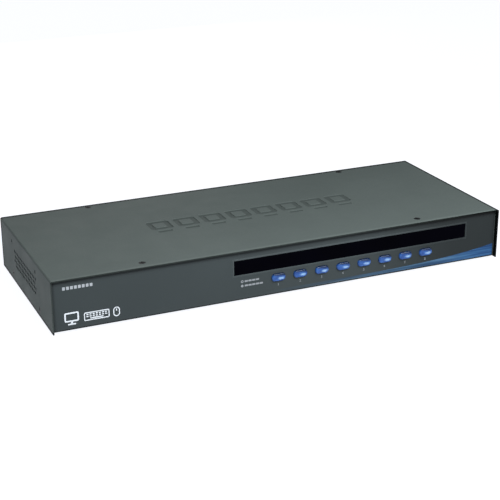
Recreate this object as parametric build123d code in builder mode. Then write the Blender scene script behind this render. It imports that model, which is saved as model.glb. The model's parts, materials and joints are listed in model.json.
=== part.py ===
"""Eight-port rack and desk KVM switch, one unit (1U) high.

Frame: +X to the right as seen from the front, +Y to the rear, +Z up.
The origin is on the surface that the feet stand on, under the middle of the whole object.
Every size is in millimetres.
"""
from build123d import *
import os

os.makedirs("parts", exist_ok=True)

# ---- case ----
CASE_WIDTH = 400.0
CASE_DEPTH = 160.0
CASE_HEIGHT = 44.0          # one rack unit, less the usual clearance
SHEET = 1.0                 # folded steel of the cover and the tray
BEND = 1.4                  # outside radius of a fold
FOOT_HEIGHT = 2.0
REAR_REACH = 5.0            # jack posts, behind the rear wall
SLIP = 0.2                  # clearance between cover and tray
PANEL_SETBACK = 3.0         # front face, behind the cover's front edge
OVERLAY = 0.5               # printed front sheet

# ---- front controls ----
PORT_COUNT = 8
BUTTON_PITCH = 19.8
CONTROLS_X = 59.8           # middle of the window and of the row of buttons
BUTTON_SIZE = (12.0, 6.4)
BUTTON_CORNER = 2.9
BUTTON_GAP = 0.2            # clearance round a button
BUTTON_HEIGHT = 15.2        # above the bottom of the case
BUTTON_PROUD = 1.6
BUTTON_TRAVEL = 0.5         # from rest to fully pressed
WINDOW_SIZE = (217.0, 12.7)
WINDOW_HEIGHT = 28.8        # middle, above the bottom of the case
WINDOW_RIM = 1.2

# ---- rear connectors, left to right as seen from the front ----
PC_PORT_PITCH = 33.0
PC_PORT_FIRST_X = -165.0
CONSOLE_VIDEO_X = 103.0
PS2_X = 132.0
USB_X = 155.0
POWER_X = 178.0
JACK_SPACING = 25.0         # pair of jack posts beside a video socket

# ---- boards ----
BOARD = 1.6
STANDOFF = 6.0
MAIN_BOARD_SIZE = (380.0, 113.0)
MAIN_BOARD_FRONT = 45.0     # its front edge, behind the cover's front edge
FRONT_BOARD_SIZE = (252.0, 34.0)

# ---- places worked out from the sizes above ----
Y_FRONT = -(CASE_DEPTH + REAR_REACH) / 2
Z_BOTTOM = FOOT_HEIGHT
Z_TOP = Z_BOTTOM + CASE_HEIGHT
Z_FLOOR = Z_BOTTOM + SHEET
TRAY_WIDTH = CASE_WIDTH - 2 * (SHEET + SLIP)
TRAY_TOP = Z_TOP - SHEET
WALL_FRONT = PANEL_SETBACK + OVERLAY
WALL_BACK = WALL_FRONT + SHEET
REAR_INSIDE = CASE_DEPTH - SHEET
BUTTON_Z = Z_BOTTOM + BUTTON_HEIGHT
WINDOW_Z = Z_BOTTOM + WINDOW_HEIGHT
BOARD_TOP = Z_FLOOR + STANDOFF + BOARD
FIRST_BUTTON_X = CONTROLS_X - BUTTON_PITCH * (PORT_COUNT - 1) / 2
button_xs = [FIRST_BUTTON_X + BUTTON_PITCH * n for n in range(PORT_COUNT)]
pc_port_xs = [PC_PORT_FIRST_X + PC_PORT_PITCH * n for n in range(PORT_COUNT)]
video_xs = pc_port_xs + [CONSOLE_VIDEO_X]


def upright(depth):
    """Plane across the case at a depth behind the cover's front edge.

    Its own axes are the case's X and Z, and it faces the front:
    a negative extrusion goes to the rear.
    """
    return Plane.XZ.offset(-(Y_FRONT + depth))


def level(height):
    """Horizontal plane at a height, facing up."""
    return Plane.XY.offset(height)


def at_depth(x, depth):
    """A point of a horizontal plane, its Y given as a depth behind the front edge."""
    return (x, Y_FRONT + depth)


def side_face(side):
    """Plane on the outside of the case, facing right (side 1) or left (side -1)."""
    return Plane(origin=(side * CASE_WIDTH / 2, 0, 0), x_dir=(0, side, 0), z_dir=(side, 0, 0))


def on_side(side, depths, height):
    """Points of a side face, at depths behind the front edge and one height."""
    return [(side * (Y_FRONT + depth), height) for depth in depths]


# ---- fastener places ----
TOP_SCREW_X = 123.5
TOP_SCREW_DEPTHS = (9.5, 154.5)
SIDE_SCREW_DEPTHS = (38.0, 123.0)
SIDE_SCREW_Z = Z_BOTTOM + 6.5
RACK_HOLE_DEPTHS = (46.0, 122.0)
RACK_HOLE_Z = Z_BOTTOM + 35.5
M3_R = 1.5
M3_CLEAR_R = 1.65
M3_SHANK_R = 1.4
top_screw_places = [at_depth(x, d) for d in TOP_SCREW_DEPTHS for x in (-TOP_SCREW_X, TOP_SCREW_X)]
side_screw_places = [(Y_FRONT + d, SIDE_SCREW_Z) for d in SIDE_SCREW_DEPTHS]
rack_hole_places = [(Y_FRONT + d, RACK_HOLE_Z) for d in RACK_HOLE_DEPTHS]

# ======== top cover: a folded U with countersunk screws, side vents and a pressed pattern ========
COUNTERSINK_R = 2.9
COUNTERSINK_ANGLE = 106     # between the sides of the cone
VENT_R = 1.5
VENT_PITCH = 4.8
VENT_ROW = 4.16
VENT_COLUMNS = 15
VENT_DEPTH = 80.0
VENT_Z = Z_BOTTOM + 23.0
RELIEF_DEPTH = 0.5
RELIEF_SLOPE = 0.42         # sloping edge of a groove
RELIEF_PITCH = 24.0
RELIEF_X = 2.0
RELIEF_FRONT_DEPTH = 81.0   # middle of the pattern, behind the front edge
SCREEN_SIZE = (19.0, 19.0)
SCREEN_LINE = 4.0
SCREEN_CORNER = 2.5
SCREEN_INNER_CORNER = 1.0
SCREEN_SHIFT = 4.0          # behind the middle of the pattern
STAND_SIZE = (12.0, 3.8)
STAND_CORNER = 1.2
STAND_SHIFT = -11.2
relief_reach = (RELIEF_PITCH * PORT_COUNT / 2, SCREEN_SIZE[1])      # from its middle, along X and Y

with BuildPart() as top_cover:
    with BuildSketch(upright(0)) as cover_profile:
        with Locations((0, Z_BOTTOM + CASE_HEIGHT / 2)):
            Rectangle(CASE_WIDTH, CASE_HEIGHT)
        fillet(cover_profile.vertices().group_by(Axis.Y)[-1], BEND)
        with Locations((0, Z_BOTTOM + (CASE_HEIGHT - SHEET) / 2)):
            Rectangle(CASE_WIDTH - 2 * SHEET, CASE_HEIGHT - SHEET, mode=Mode.SUBTRACT)
    extrude(amount=-CASE_DEPTH)
    # countersunk holes in the top and the sides
    with Locations(level(Z_TOP)):
        with Locations(*top_screw_places):
            CounterSinkHole(M3_CLEAR_R, COUNTERSINK_R, 2 * SHEET, COUNTERSINK_ANGLE)
    for side in (-1, 1):
        with Locations(side_face(side)):
            with Locations(*on_side(side, SIDE_SCREW_DEPTHS, SIDE_SCREW_Z)):
                CounterSinkHole(M3_CLEAR_R, COUNTERSINK_R, 2 * SHEET, COUNTERSINK_ANGLE)
    # vents and rack-ear holes, through both sides
    with BuildSketch(Plane.YZ.offset(CASE_WIDTH / 2)):
        with Locations((Y_FRONT + VENT_DEPTH, VENT_Z + VENT_ROW / 2)):
            with GridLocations(VENT_PITCH, 2 * VENT_ROW, VENT_COLUMNS, 2):
                Circle(VENT_R)
        with Locations((Y_FRONT + VENT_DEPTH, VENT_Z - VENT_ROW / 2)):
            with GridLocations(VENT_PITCH, 2 * VENT_ROW, VENT_COLUMNS - 1, 2):
                Circle(VENT_R)
        with Locations(*rack_hole_places):
            Circle(M3_R)
    extrude(amount=-CASE_WIDTH, mode=Mode.SUBTRACT)
    # shallow pressed pattern: a row of eight screens on their stands
    with BuildSketch(level(Z_TOP)):
        with Locations(at_depth(RELIEF_X, RELIEF_FRONT_DEPTH)):
            with GridLocations(RELIEF_PITCH, 0, PORT_COUNT, 1):
                with Locations((0, SCREEN_SHIFT)):
                    RectangleRounded(SCREEN_SIZE[0], SCREEN_SIZE[1], SCREEN_CORNER)
                    RectangleRounded(
                        SCREEN_SIZE[0] - 2 * SCREEN_LINE,
                        SCREEN_SIZE[1] - 2 * SCREEN_LINE,
                        SCREEN_INNER_CORNER,
                        mode=Mode.SUBTRACT,
                    )
                with Locations((0, STAND_SHIFT)):
                    RectangleRounded(STAND_SIZE[0], STAND_SIZE[1], STAND_CORNER)
    extrude(amount=-RELIEF_DEPTH, mode=Mode.SUBTRACT)
    relief_low = at_depth(RELIEF_X - relief_reach[0], RELIEF_FRONT_DEPTH - relief_reach[1])
    relief_high = at_depth(RELIEF_X + relief_reach[0], RELIEF_FRONT_DEPTH + relief_reach[1])
    relief_rims = (
        top_cover.edges()
        .group_by(Axis.Z)[-1]
        .filter_by_position(Axis.X, relief_low[0], relief_high[0])
        .filter_by_position(Axis.Y, relief_low[1], relief_high[1])
        .filter_by(lambda edge: edge.length < RELIEF_PITCH)
    )
    chamfer(relief_rims, RELIEF_SLOPE)
top_cover.part.label = "top_cover"
export_step(top_cover.part, "parts/top_cover.step")

# ======== chassis tray: floor, front wall, rear wall and flanges, folded from one sheet ========
FLANGE_REACH = 12.5
SIDE_FLANGE_HEIGHT = 12.0
SIDE_FLANGE_DEPTHS = (24.0, 138.0)
STUD_R = 2.0
D_CUTOUT = (17.2, 8.8)
D_CUTOUT_CORNER = 2.5
D_SIDE_ANGLE = 80
VIDEO_Z = BOARD_TOP + 6.25
JACK_CLEAR_R = 1.6
PS2_BLOCK = (14.0, 27.0)
USB_BLOCK = (14.5, 15.4)
POWER_BLOCK = (9.0, 11.0)
CUTOUT_GAP = 0.3
STANDOFF_XS = (-180.0, 0.0, 180.0)
STANDOFF_DEPTHS = (52.0, 138.0)
standoff_places = [at_depth(x, d) for d in STANDOFF_DEPTHS for x in STANDOFF_XS]
jack_places = [(x + side * JACK_SPACING / 2, VIDEO_Z) for x in video_xs for side in (-1, 1)]
tray_depth = CASE_DEPTH - WALL_FRONT
tray_height = TRAY_TOP - Z_BOTTOM
tray_middle = (Y_FRONT + (WALL_FRONT + CASE_DEPTH) / 2, (Z_BOTTOM + TRAY_TOP) / 2)
side_flange_middle = at_depth(0, sum(SIDE_FLANGE_DEPTHS) / 2)

with BuildPart() as chassis_tray:
    with BuildSketch(Plane.YZ.offset(-TRAY_WIDTH / 2)) as tray_profile:
        with Locations(tray_middle):
            Rectangle(tray_depth, tray_height)
        fillet(tray_profile.vertices(), BEND)
        with Locations(tray_middle):
            Rectangle(tray_depth - 2 * SHEET, tray_height - 2 * SHEET, mode=Mode.SUBTRACT)
        with Locations((tray_middle[0], TRAY_TOP)):
            Rectangle(tray_depth - 2 * FLANGE_REACH, 2 * SHEET, mode=Mode.SUBTRACT)
    extrude(amount=TRAY_WIDTH)
    # low side flanges that take the side screws
    with BuildSketch(level(Z_BOTTOM)):
        with Locations(side_flange_middle):
            with GridLocations(TRAY_WIDTH - SHEET, 0, 2, 1):
                Rectangle(SHEET, SIDE_FLANGE_DEPTHS[1] - SIDE_FLANGE_DEPTHS[0])
    extrude(amount=SIDE_FLANGE_HEIGHT)
    with BuildSketch(Plane.YZ.offset(TRAY_WIDTH / 2)):
        with Locations(*side_screw_places):
            Circle(M3_R)
    extrude(amount=-TRAY_WIDTH, mode=Mode.SUBTRACT)
    # screw holes in the top flanges, and stud holes in the floor
    with BuildSketch(level(TRAY_TOP)):
        with Locations(*top_screw_places):
            Circle(M3_R)
    extrude(amount=-SHEET, mode=Mode.SUBTRACT)
    with BuildSketch(level(Z_FLOOR)):
        with Locations(*standoff_places):
            Circle(STUD_R)
    extrude(amount=-SHEET, mode=Mode.SUBTRACT)
    # window and button openings in the front wall
    with BuildSketch(upright(WALL_FRONT)):
        with Locations((CONTROLS_X, WINDOW_Z)):
            Rectangle(*WINDOW_SIZE)
        with Locations((CONTROLS_X, BUTTON_Z)):
            with GridLocations(BUTTON_PITCH, 0, PORT_COUNT, 1):
                RectangleRounded(
                    BUTTON_SIZE[0] + 2 * BUTTON_GAP,
                    BUTTON_SIZE[1] + 2 * BUTTON_GAP,
                    BUTTON_CORNER + BUTTON_GAP,
                )
    extrude(amount=-SHEET, mode=Mode.SUBTRACT)
    # connector openings in the rear wall
    with BuildSketch(upright(REAR_INSIDE)) as d_cutouts:
        with Locations(*[(x, VIDEO_Z) for x in video_xs]):
            Trapezoid(D_CUTOUT[0], D_CUTOUT[1], D_SIDE_ANGLE, rotation=180)
        fillet(d_cutouts.vertices(), D_CUTOUT_CORNER)
        with Locations(*jack_places):
            Circle(JACK_CLEAR_R)
        with Locations((PS2_X, BOARD_TOP + PS2_BLOCK[1] / 2)):
            Rectangle(PS2_BLOCK[0] + 2 * CUTOUT_GAP, PS2_BLOCK[1] + 2 * CUTOUT_GAP)
        with Locations((USB_X, BOARD_TOP + USB_BLOCK[1] / 2)):
            Rectangle(USB_BLOCK[0] + 2 * CUTOUT_GAP, USB_BLOCK[1] + 2 * CUTOUT_GAP)
        with Locations((POWER_X, BOARD_TOP + POWER_BLOCK[1] / 2)):
            Rectangle(POWER_BLOCK[0] + 2 * CUTOUT_GAP, POWER_BLOCK[1] + 2 * CUTOUT_GAP)
    extrude(amount=-SHEET, mode=Mode.SUBTRACT)
chassis_tray.part.label = "chassis_tray"
export_step(chassis_tray.part, "parts/chassis_tray.step")

# ======== front overlay: printed sheet on the front wall, with a raised rim round the window ====
OVERLAY_MARGIN = 0.8
OVERLAY_CORNER = 0.8
RIM_PROUD = 0.25
RIM_CHAMFER = 0.2
overlay_size = (TRAY_WIDTH - 2 * OVERLAY_MARGIN, tray_height - 2 * OVERLAY_MARGIN)

with BuildPart() as front_overlay:
    with BuildSketch(upright(PANEL_SETBACK)):
        with Locations((0, tray_middle[1])):
            RectangleRounded(overlay_size[0], overlay_size[1], OVERLAY_CORNER)
    extrude(amount=-OVERLAY)
    with BuildSketch(upright(PANEL_SETBACK)):
        with Locations((CONTROLS_X, WINDOW_Z)):
            Rectangle(WINDOW_SIZE[0] + 2 * WINDOW_RIM, WINDOW_SIZE[1] + 2 * WINDOW_RIM)
    extrude(amount=RIM_PROUD)
    chamfer(front_overlay.edges().group_by(Axis.Y)[0], RIM_CHAMFER)
    with BuildSketch(upright(PANEL_SETBACK - RIM_PROUD)):
        with Locations((CONTROLS_X, WINDOW_Z)):
            Rectangle(*WINDOW_SIZE)
        with Locations((CONTROLS_X, BUTTON_Z)):
            with GridLocations(BUTTON_PITCH, 0, PORT_COUNT, 1):
                RectangleRounded(
                    BUTTON_SIZE[0] + 2 * BUTTON_GAP,
                    BUTTON_SIZE[1] + 2 * BUTTON_GAP,
                    BUTTON_CORNER + BUTTON_GAP,
                )
    extrude(amount=-(RIM_PROUD + OVERLAY), mode=Mode.SUBTRACT)
front_overlay.part.label = "front_overlay"
export_step(front_overlay.part, "parts/front_overlay.step")

# ======== display window: smoked lens, glued in from behind by its flange ========
LENS_SIDE_GAP = 0.05
LENS_FLANGE = 1.5
LENS_FLANGE_THICK = 1.0
LENS_CHAMFER = 0.15
lens_depth = WALL_BACK - PANEL_SETBACK

with BuildPart() as display_window:
    with BuildSketch(upright(PANEL_SETBACK)):
        with Locations((CONTROLS_X, WINDOW_Z)):
            Rectangle(WINDOW_SIZE[0] - 2 * LENS_SIDE_GAP, WINDOW_SIZE[1] - 2 * LENS_SIDE_GAP)
    extrude(amount=-lens_depth)
    chamfer(display_window.edges().group_by(Axis.Y)[0], LENS_CHAMFER)
    with BuildSketch(upright(WALL_BACK)):
        with Locations((CONTROLS_X, WINDOW_Z)):
            Rectangle(WINDOW_SIZE[0] + 2 * LENS_FLANGE, WINDOW_SIZE[1] + 2 * LENS_FLANGE)
    extrude(amount=-LENS_FLANGE_THICK)
display_window.part.label = "display_window"
export_step(display_window.part, "parts/display_window.step")

# ======== buttons: translucent caps, each held behind the wall by a flange ========
CAP_FLANGE_GAP = 0.15
CAP_FLANGE = 1.0
CAP_FLANGE_SIZE = (14.6, 8.6)
CAP_FLANGE_CORNER = 1.5
CAP_EDGE = 1.1
STEM_R = 2.5
STEM_LENGTH = 2.45
cap_front = PANEL_SETBACK - BUTTON_PROUD
cap_flange_front = WALL_BACK + CAP_FLANGE_GAP
stem_front = cap_flange_front + CAP_FLANGE
stem_back = stem_front + STEM_LENGTH

# ---- each button's tact switch, fixed on the front board ----
PLUNGER_R = 1.75
PLUNGER_LENGTH = 1.6
COLLAR_R = 2.1
COLLAR = 0.6
FRAME = 0.3
FRAME_SIZE = 6.0
FRAME_HOLE_R = 1.95
SWITCH_BASE_SIZE = 6.2
SWITCH_BASE_CORNER = 0.5
SWITCH_BASE = 3.4
SWITCH_CAVITY_R = 2.35
SNAP_DOME = 0.3             # space kept under the plunger at full travel
SWITCH_CAVITY = COLLAR + BUTTON_TRAVEL + SNAP_DOME
plunger_back = stem_back + PLUNGER_LENGTH
frame_front = plunger_back - FRAME
base_front = frame_front + FRAME
front_board_front = base_front + SWITCH_BASE

for number, x in enumerate(button_xs, start=1):
    with BuildPart() as button:
        with BuildSketch(upright(cap_front)):
            with Locations((x, BUTTON_Z)):
                RectangleRounded(BUTTON_SIZE[0], BUTTON_SIZE[1], BUTTON_CORNER)
        extrude(amount=-(cap_flange_front - cap_front))
        fillet(button.edges().group_by(Axis.Y)[0], CAP_EDGE)
        with BuildSketch(upright(cap_flange_front)):
            with Locations((x, BUTTON_Z)):
                RectangleRounded(CAP_FLANGE_SIZE[0], CAP_FLANGE_SIZE[1], CAP_FLANGE_CORNER)
        extrude(amount=-CAP_FLANGE)
        with BuildSketch(upright(stem_front)):
            with Locations((x, BUTTON_Z)):
                Circle(STEM_R)
        extrude(amount=-STEM_LENGTH)
    button.part.label = f"button_{number}"
    export_step(button.part, f"parts/button_{number}.step")

    with BuildPart() as plunger:
        with BuildSketch(upright(stem_back)):
            with Locations((x, BUTTON_Z)):
                Circle(PLUNGER_R)
        extrude(amount=-PLUNGER_LENGTH)
        with BuildSketch(upright(plunger_back)):
            with Locations((x, BUTTON_Z)):
                Circle(COLLAR_R)
        extrude(amount=-COLLAR)
    plunger.part.label = f"switch_plunger_{number}"
    export_step(plunger.part, f"parts/switch_plunger_{number}.step")

with BuildPart() as switch_bases:
    with BuildSketch(upright(base_front)):
        with Locations((CONTROLS_X, BUTTON_Z)):
            with GridLocations(BUTTON_PITCH, 0, PORT_COUNT, 1):
                RectangleRounded(SWITCH_BASE_SIZE, SWITCH_BASE_SIZE, SWITCH_BASE_CORNER)
    extrude(amount=-SWITCH_BASE)
    with BuildSketch(upright(base_front)):
        with Locations((CONTROLS_X, BUTTON_Z)):
            with GridLocations(BUTTON_PITCH, 0, PORT_COUNT, 1):
                Circle(SWITCH_CAVITY_R)
    extrude(amount=-SWITCH_CAVITY, mode=Mode.SUBTRACT)
switch_bases.part.label = "switch_bases"
export_step(switch_bases.part, "parts/switch_bases.step")

with BuildPart() as switch_frames:
    with BuildSketch(upright(frame_front)):
        with Locations((CONTROLS_X, BUTTON_Z)):
            with GridLocations(BUTTON_PITCH, 0, PORT_COUNT, 1):
                Rectangle(FRAME_SIZE, FRAME_SIZE)
                Circle(FRAME_HOLE_R, mode=Mode.SUBTRACT)
    extrude(amount=-FRAME)
switch_frames.part.label = "switch_frames"
export_step(switch_frames.part, "parts/switch_frames.step")

# ======== front board with its posts and screws ========
PAN_HEAD_R = 2.75
PAN_HEAD = 1.8
PAN_HEAD_EDGE = 0.9
CROSS_LENGTH = 2.8
CROSS_WIDTH = 0.6
CROSS_DEPTH = 1.0
BOARD_SCREW_LENGTH = 6.0
POST_R = 2.9                # to the corners of a hexagonal post
FRONT_BOARD_RISE = 22.5     # middle of the front board above the floor plate
front_board_z = Z_BOTTOM + FRONT_BOARD_RISE
front_board_back = front_board_front + BOARD
POST_X = 120.0
POST_RISE = 12.5


def pan_screws(seat, places, length):
    """Cross-recess pan-head screws: heads stand on the seat plane, shanks go below it."""
    with BuildPart() as screws:
        with BuildSketch(seat):
            with Locations(*places):
                Circle(PAN_HEAD_R)
        extrude(amount=PAN_HEAD)
        head_rims = screws.edges().group_by(Axis(seat.origin, seat.z_dir))[-1]
        fillet(head_rims, PAN_HEAD_EDGE)
        with BuildSketch(seat):
            with Locations(*places):
                Circle(M3_SHANK_R)
        extrude(amount=-length)
        with BuildSketch(seat.offset(PAN_HEAD)):
            with Locations(*places):
                Rectangle(CROSS_LENGTH, CROSS_WIDTH)
                Rectangle(CROSS_WIDTH, CROSS_LENGTH)
        extrude(amount=-CROSS_DEPTH, mode=Mode.SUBTRACT)
    return screws


with BuildPart() as front_board:
    with BuildSketch(upright(front_board_front)):
        with Locations((CONTROLS_X, front_board_z)):
            Rectangle(*FRONT_BOARD_SIZE)
            with GridLocations(2 * POST_X, 2 * POST_RISE, 2, 2):
                Circle(M3_CLEAR_R, mode=Mode.SUBTRACT)
    extrude(amount=-BOARD)
front_board.part.label = "front_board"
export_step(front_board.part, "parts/front_board.step")

with BuildPart() as front_board_posts:
    with BuildSketch(upright(WALL_BACK)):
        with Locations((CONTROLS_X, front_board_z)):
            with GridLocations(2 * POST_X, 2 * POST_RISE, 2, 2):
                RegularPolygon(POST_R, 6)
                Circle(M3_R, mode=Mode.SUBTRACT)
    extrude(amount=-(front_board_front - WALL_BACK))
front_board_posts.part.label = "front_board_posts"
export_step(front_board_posts.part, "parts/front_board_posts.step")

rear_facing = Plane(
    origin=(0, Y_FRONT + front_board_back, 0), x_dir=(-1, 0, 0), z_dir=(0, 1, 0)
)
post_places = [
    (-(CONTROLS_X + side * POST_X), front_board_z + rise * POST_RISE)
    for side in (-1, 1)
    for rise in (-1, 1)
]
front_board_screws = pan_screws(rear_facing, post_places, BOARD_SCREW_LENGTH)
front_board_screws.part.label = "front_board_screws"
export_step(front_board_screws.part, "parts/front_board_screws.step")

# ======== main board on its standoffs ========
STANDOFF_R = 2.9
standoff_top = Z_FLOOR + STANDOFF

with BuildPart() as board_standoffs:
    with BuildSketch(level(Z_FLOOR)):
        with Locations(*standoff_places):
            RegularPolygon(STANDOFF_R, 6)
    extrude(amount=STANDOFF)
    with BuildSketch(level(Z_FLOOR)):
        with Locations(*standoff_places):
            Circle(STUD_R)
    extrude(amount=-SHEET)
    with BuildSketch(level(standoff_top)):
        with Locations(*standoff_places):
            Circle(M3_R)
    extrude(amount=-STANDOFF, mode=Mode.SUBTRACT)
board_standoffs.part.label = "board_standoffs"
export_step(board_standoffs.part, "parts/board_standoffs.step")

board_middle = at_depth(0, MAIN_BOARD_FRONT + MAIN_BOARD_SIZE[1] / 2)
with BuildPart() as main_board:
    with BuildSketch(level(standoff_top)):
        with Locations(board_middle):
            Rectangle(*MAIN_BOARD_SIZE)
        with Locations(*standoff_places):
            Circle(M3_CLEAR_R, mode=Mode.SUBTRACT)
    extrude(amount=BOARD)
main_board.part.label = "main_board"
export_step(main_board.part, "parts/main_board.step")

main_board_screws = pan_screws(level(BOARD_TOP), standoff_places, BOARD_SCREW_LENGTH)
main_board_screws.part.label = "main_board_screws"
export_step(main_board_screws.part, "parts/main_board_screws.step")

# ======== video sockets: stamped shell, moulded insert with three rows of contacts ========
D_OUTER = (16.3, 7.9)
D_WALL = 0.4
D_CORNER = 2.2
FLANGE_SIZE = (30.8, 12.5)
FLANGE = 0.8
FLANGE_CORNER = 1.0
D_REACH = 4.9               # behind the rear wall
INSERT_SHORT = 0.3          # insert face, inside the shell's mouth
BODY_DEPTH = 10.0
CONTACT_R = 0.55
CONTACT_PITCH = 2.29
CONTACT_ROW = 1.98
CONTACTS_IN_ROW = 5
CONTACT_DEPTH = 4.0
STUD_HOLE_DEPTH = 7.0
flange_front = REAR_INSIDE - FLANGE
shell_end = CASE_DEPTH + D_REACH
insert_end = shell_end - INSERT_SHORT


def video_shells(centres):
    """Flange and D-shaped tube of each socket, wide side up."""
    places = [(x, VIDEO_Z) for x in centres]
    screws = [(x + side * JACK_SPACING / 2, VIDEO_Z) for x in centres for side in (-1, 1)]
    with BuildPart() as shells:
        with BuildSketch(upright(flange_front)):
            with Locations(*places):
                RectangleRounded(FLANGE_SIZE[0], FLANGE_SIZE[1], FLANGE_CORNER)
            with Locations(*screws):
                Circle(JACK_CLEAR_R, mode=Mode.SUBTRACT)
        extrude(amount=-FLANGE)
        with BuildSketch(upright(flange_front)) as tube:
            with Locations(*places):
                Trapezoid(D_OUTER[0], D_OUTER[1], D_SIDE_ANGLE, rotation=180)
            fillet(tube.vertices(), D_CORNER)
        extrude(amount=-(shell_end - flange_front))
        with BuildSketch(upright(flange_front)) as mouth:
            with Locations(*places):
                Trapezoid(
                    D_OUTER[0] - 2 * D_WALL, D_OUTER[1] - 2 * D_WALL, D_SIDE_ANGLE, rotation=180
                )
            fillet(mouth.vertices(), D_CORNER - D_WALL)
        extrude(amount=-(shell_end - flange_front), mode=Mode.SUBTRACT)
    return shells


def video_inserts(centres):
    """Moulded body behind the flange, its D-shaped nose and its fifteen contact holes."""
    places = [(x, VIDEO_Z) for x in centres]
    screws = [(x + side * JACK_SPACING / 2, VIDEO_Z) for x in centres for side in (-1, 1)]
    rows = [(CONTACT_PITCH / 4, CONTACT_ROW), (-CONTACT_PITCH / 4, 0), (CONTACT_PITCH / 4, -CONTACT_ROW)]
    with BuildPart() as inserts:
        with BuildSketch(upright(flange_front - BODY_DEPTH)):
            with Locations(*places):
                Rectangle(*FLANGE_SIZE)
        extrude(amount=-BODY_DEPTH)
        with BuildSketch(upright(flange_front)) as nose:
            with Locations(*places):
                Trapezoid(
                    D_OUTER[0] - 2 * D_WALL, D_OUTER[1] - 2 * D_WALL, D_SIDE_ANGLE, rotation=180
                )
            fillet(nose.vertices(), D_CORNER - D_WALL)
        extrude(amount=-(insert_end - flange_front))
        with BuildSketch(upright(insert_end)):
            for shift, rise in rows:
                with Locations(*[(x + shift, z + rise) for x, z in places]):
                    with GridLocations(CONTACT_PITCH, 0, CONTACTS_IN_ROW, 1):
                        Circle(CONTACT_R)
        extrude(amount=CONTACT_DEPTH, mode=Mode.SUBTRACT)
        with BuildSketch(upright(flange_front)):
            with Locations(*screws):
                Circle(JACK_CLEAR_R)
        extrude(amount=STUD_HOLE_DEPTH, mode=Mode.SUBTRACT)
    return inserts


pc_port_shells = video_shells(pc_port_xs)
pc_port_shells.part.label = "pc_port_shells"
export_step(pc_port_shells.part, "parts/pc_port_shells.step")

pc_port_inserts = video_inserts(pc_port_xs)
pc_port_inserts.part.label = "pc_port_inserts"
export_step(pc_port_inserts.part, "parts/pc_port_inserts.step")

console_video_shell = video_shells([CONSOLE_VIDEO_X])
console_video_shell.part.label = "console_video_shell"
export_step(console_video_shell.part, "parts/console_video_shell.step")

console_video_insert = video_inserts([CONSOLE_VIDEO_X])
console_video_insert.part.label = "console_video_insert"
export_step(console_video_insert.part, "parts/console_video_insert.step")

# ---- jack posts: threaded hexagons beside each video socket ----
JACK_HEX_R = 2.77
JACK_THREAD_R = 1.42
JACK_THREAD_DEPTH = 4.4
JACK_STUD_R = 1.4
JACK_STUD = 7.0

with BuildPart() as jack_posts:
    with BuildSketch(upright(CASE_DEPTH)):
        with Locations(*jack_places):
            RegularPolygon(JACK_HEX_R, 6)
    extrude(amount=-REAR_REACH)
    with BuildSketch(upright(CASE_DEPTH)):
        with Locations(*jack_places):
            Circle(JACK_STUD_R)
    extrude(amount=JACK_STUD)
    with BuildSketch(upright(CASE_DEPTH + REAR_REACH)):
        with Locations(*jack_places):
            Circle(JACK_THREAD_R)
    extrude(amount=JACK_THREAD_DEPTH, mode=Mode.SUBTRACT)
jack_posts.part.label = "jack_posts"
export_step(jack_posts.part, "parts/jack_posts.step")

# ======== stacked keyboard and mouse sockets ========
PS2_FRONT = 146.0
PS2_FACE = CASE_DEPTH + 0.6
SOCKET_R = 6.0
SOCKET_FACE = CASE_DEPTH + 1.2
SOCKET_LENGTH = 9.0
SOCKET_RISE = 13.2
RING_OUTER_R = 4.55
RING_INNER_R = 3.6
RING_DEPTH = 7.0
PIN_HOLE_R = 0.5
PIN_CIRCLE_R = 2.3
PIN_COUNT = 6
PIN_FIRST_ANGLE = -30
PIN_ARC = 240
KEY_SIZE = (2.2, 0.9)
socket_front = SOCKET_FACE - SOCKET_LENGTH
ps2_middle = BOARD_TOP + PS2_BLOCK[1] / 2

with BuildPart() as ps2_housing:
    with BuildSketch(upright(PS2_FRONT)):
        with Locations((PS2_X, ps2_middle)):
            Rectangle(*PS2_BLOCK)
    extrude(amount=-(PS2_FACE - PS2_FRONT))
    with BuildSketch(upright(PS2_FACE)):
        with Locations((PS2_X, ps2_middle)):
            with GridLocations(0, SOCKET_RISE, 1, 2):
                Circle(SOCKET_R)
    extrude(amount=PS2_FACE - socket_front, mode=Mode.SUBTRACT)
ps2_housing.part.label = "ps2_housing"
export_step(ps2_housing.part, "parts/ps2_housing.step")


def round_socket(height):
    """Coloured mini-DIN socket: a ring groove round a core with six contact holes and a key."""
    with BuildPart() as socket:
        with BuildSketch(upright(socket_front)):
            with Locations((PS2_X, height)):
                Circle(SOCKET_R)
        extrude(amount=-SOCKET_LENGTH)
        with BuildSketch(upright(SOCKET_FACE)):
            with Locations((PS2_X, height)):
                Circle(RING_OUTER_R)
                Circle(RING_INNER_R, mode=Mode.SUBTRACT)
        extrude(amount=RING_DEPTH, mode=Mode.SUBTRACT)
        with BuildSketch(upright(SOCKET_FACE)):
            with Locations((PS2_X, height)):
                with PolarLocations(PIN_CIRCLE_R, PIN_COUNT, PIN_FIRST_ANGLE, PIN_ARC):
                    Circle(PIN_HOLE_R)
                Rectangle(*KEY_SIZE)
        extrude(amount=CONTACT_DEPTH, mode=Mode.SUBTRACT)
    return socket


keyboard_socket = round_socket(ps2_middle - SOCKET_RISE / 2)
keyboard_socket.part.label = "keyboard_socket"
export_step(keyboard_socket.part, "parts/keyboard_socket.step")

mouse_socket = round_socket(ps2_middle + SOCKET_RISE / 2)
mouse_socket.part.label = "mouse_socket"
export_step(mouse_socket.part, "parts/mouse_socket.step")

# ======== stacked USB sockets ========
USB_FRONT = 144.0
USB_FACE = CASE_DEPTH + 0.8
USB_MOUTH = (12.5, 5.1)
USB_MOUTH_DEPTH = 12.0
USB_RISE = 7.7
TONGUE_SIZE = (11.1, 1.8)
TONGUE_LENGTH = 10.0
TONGUE_LIFT = 0.9
usb_middle = BOARD_TOP + USB_BLOCK[1] / 2

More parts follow.
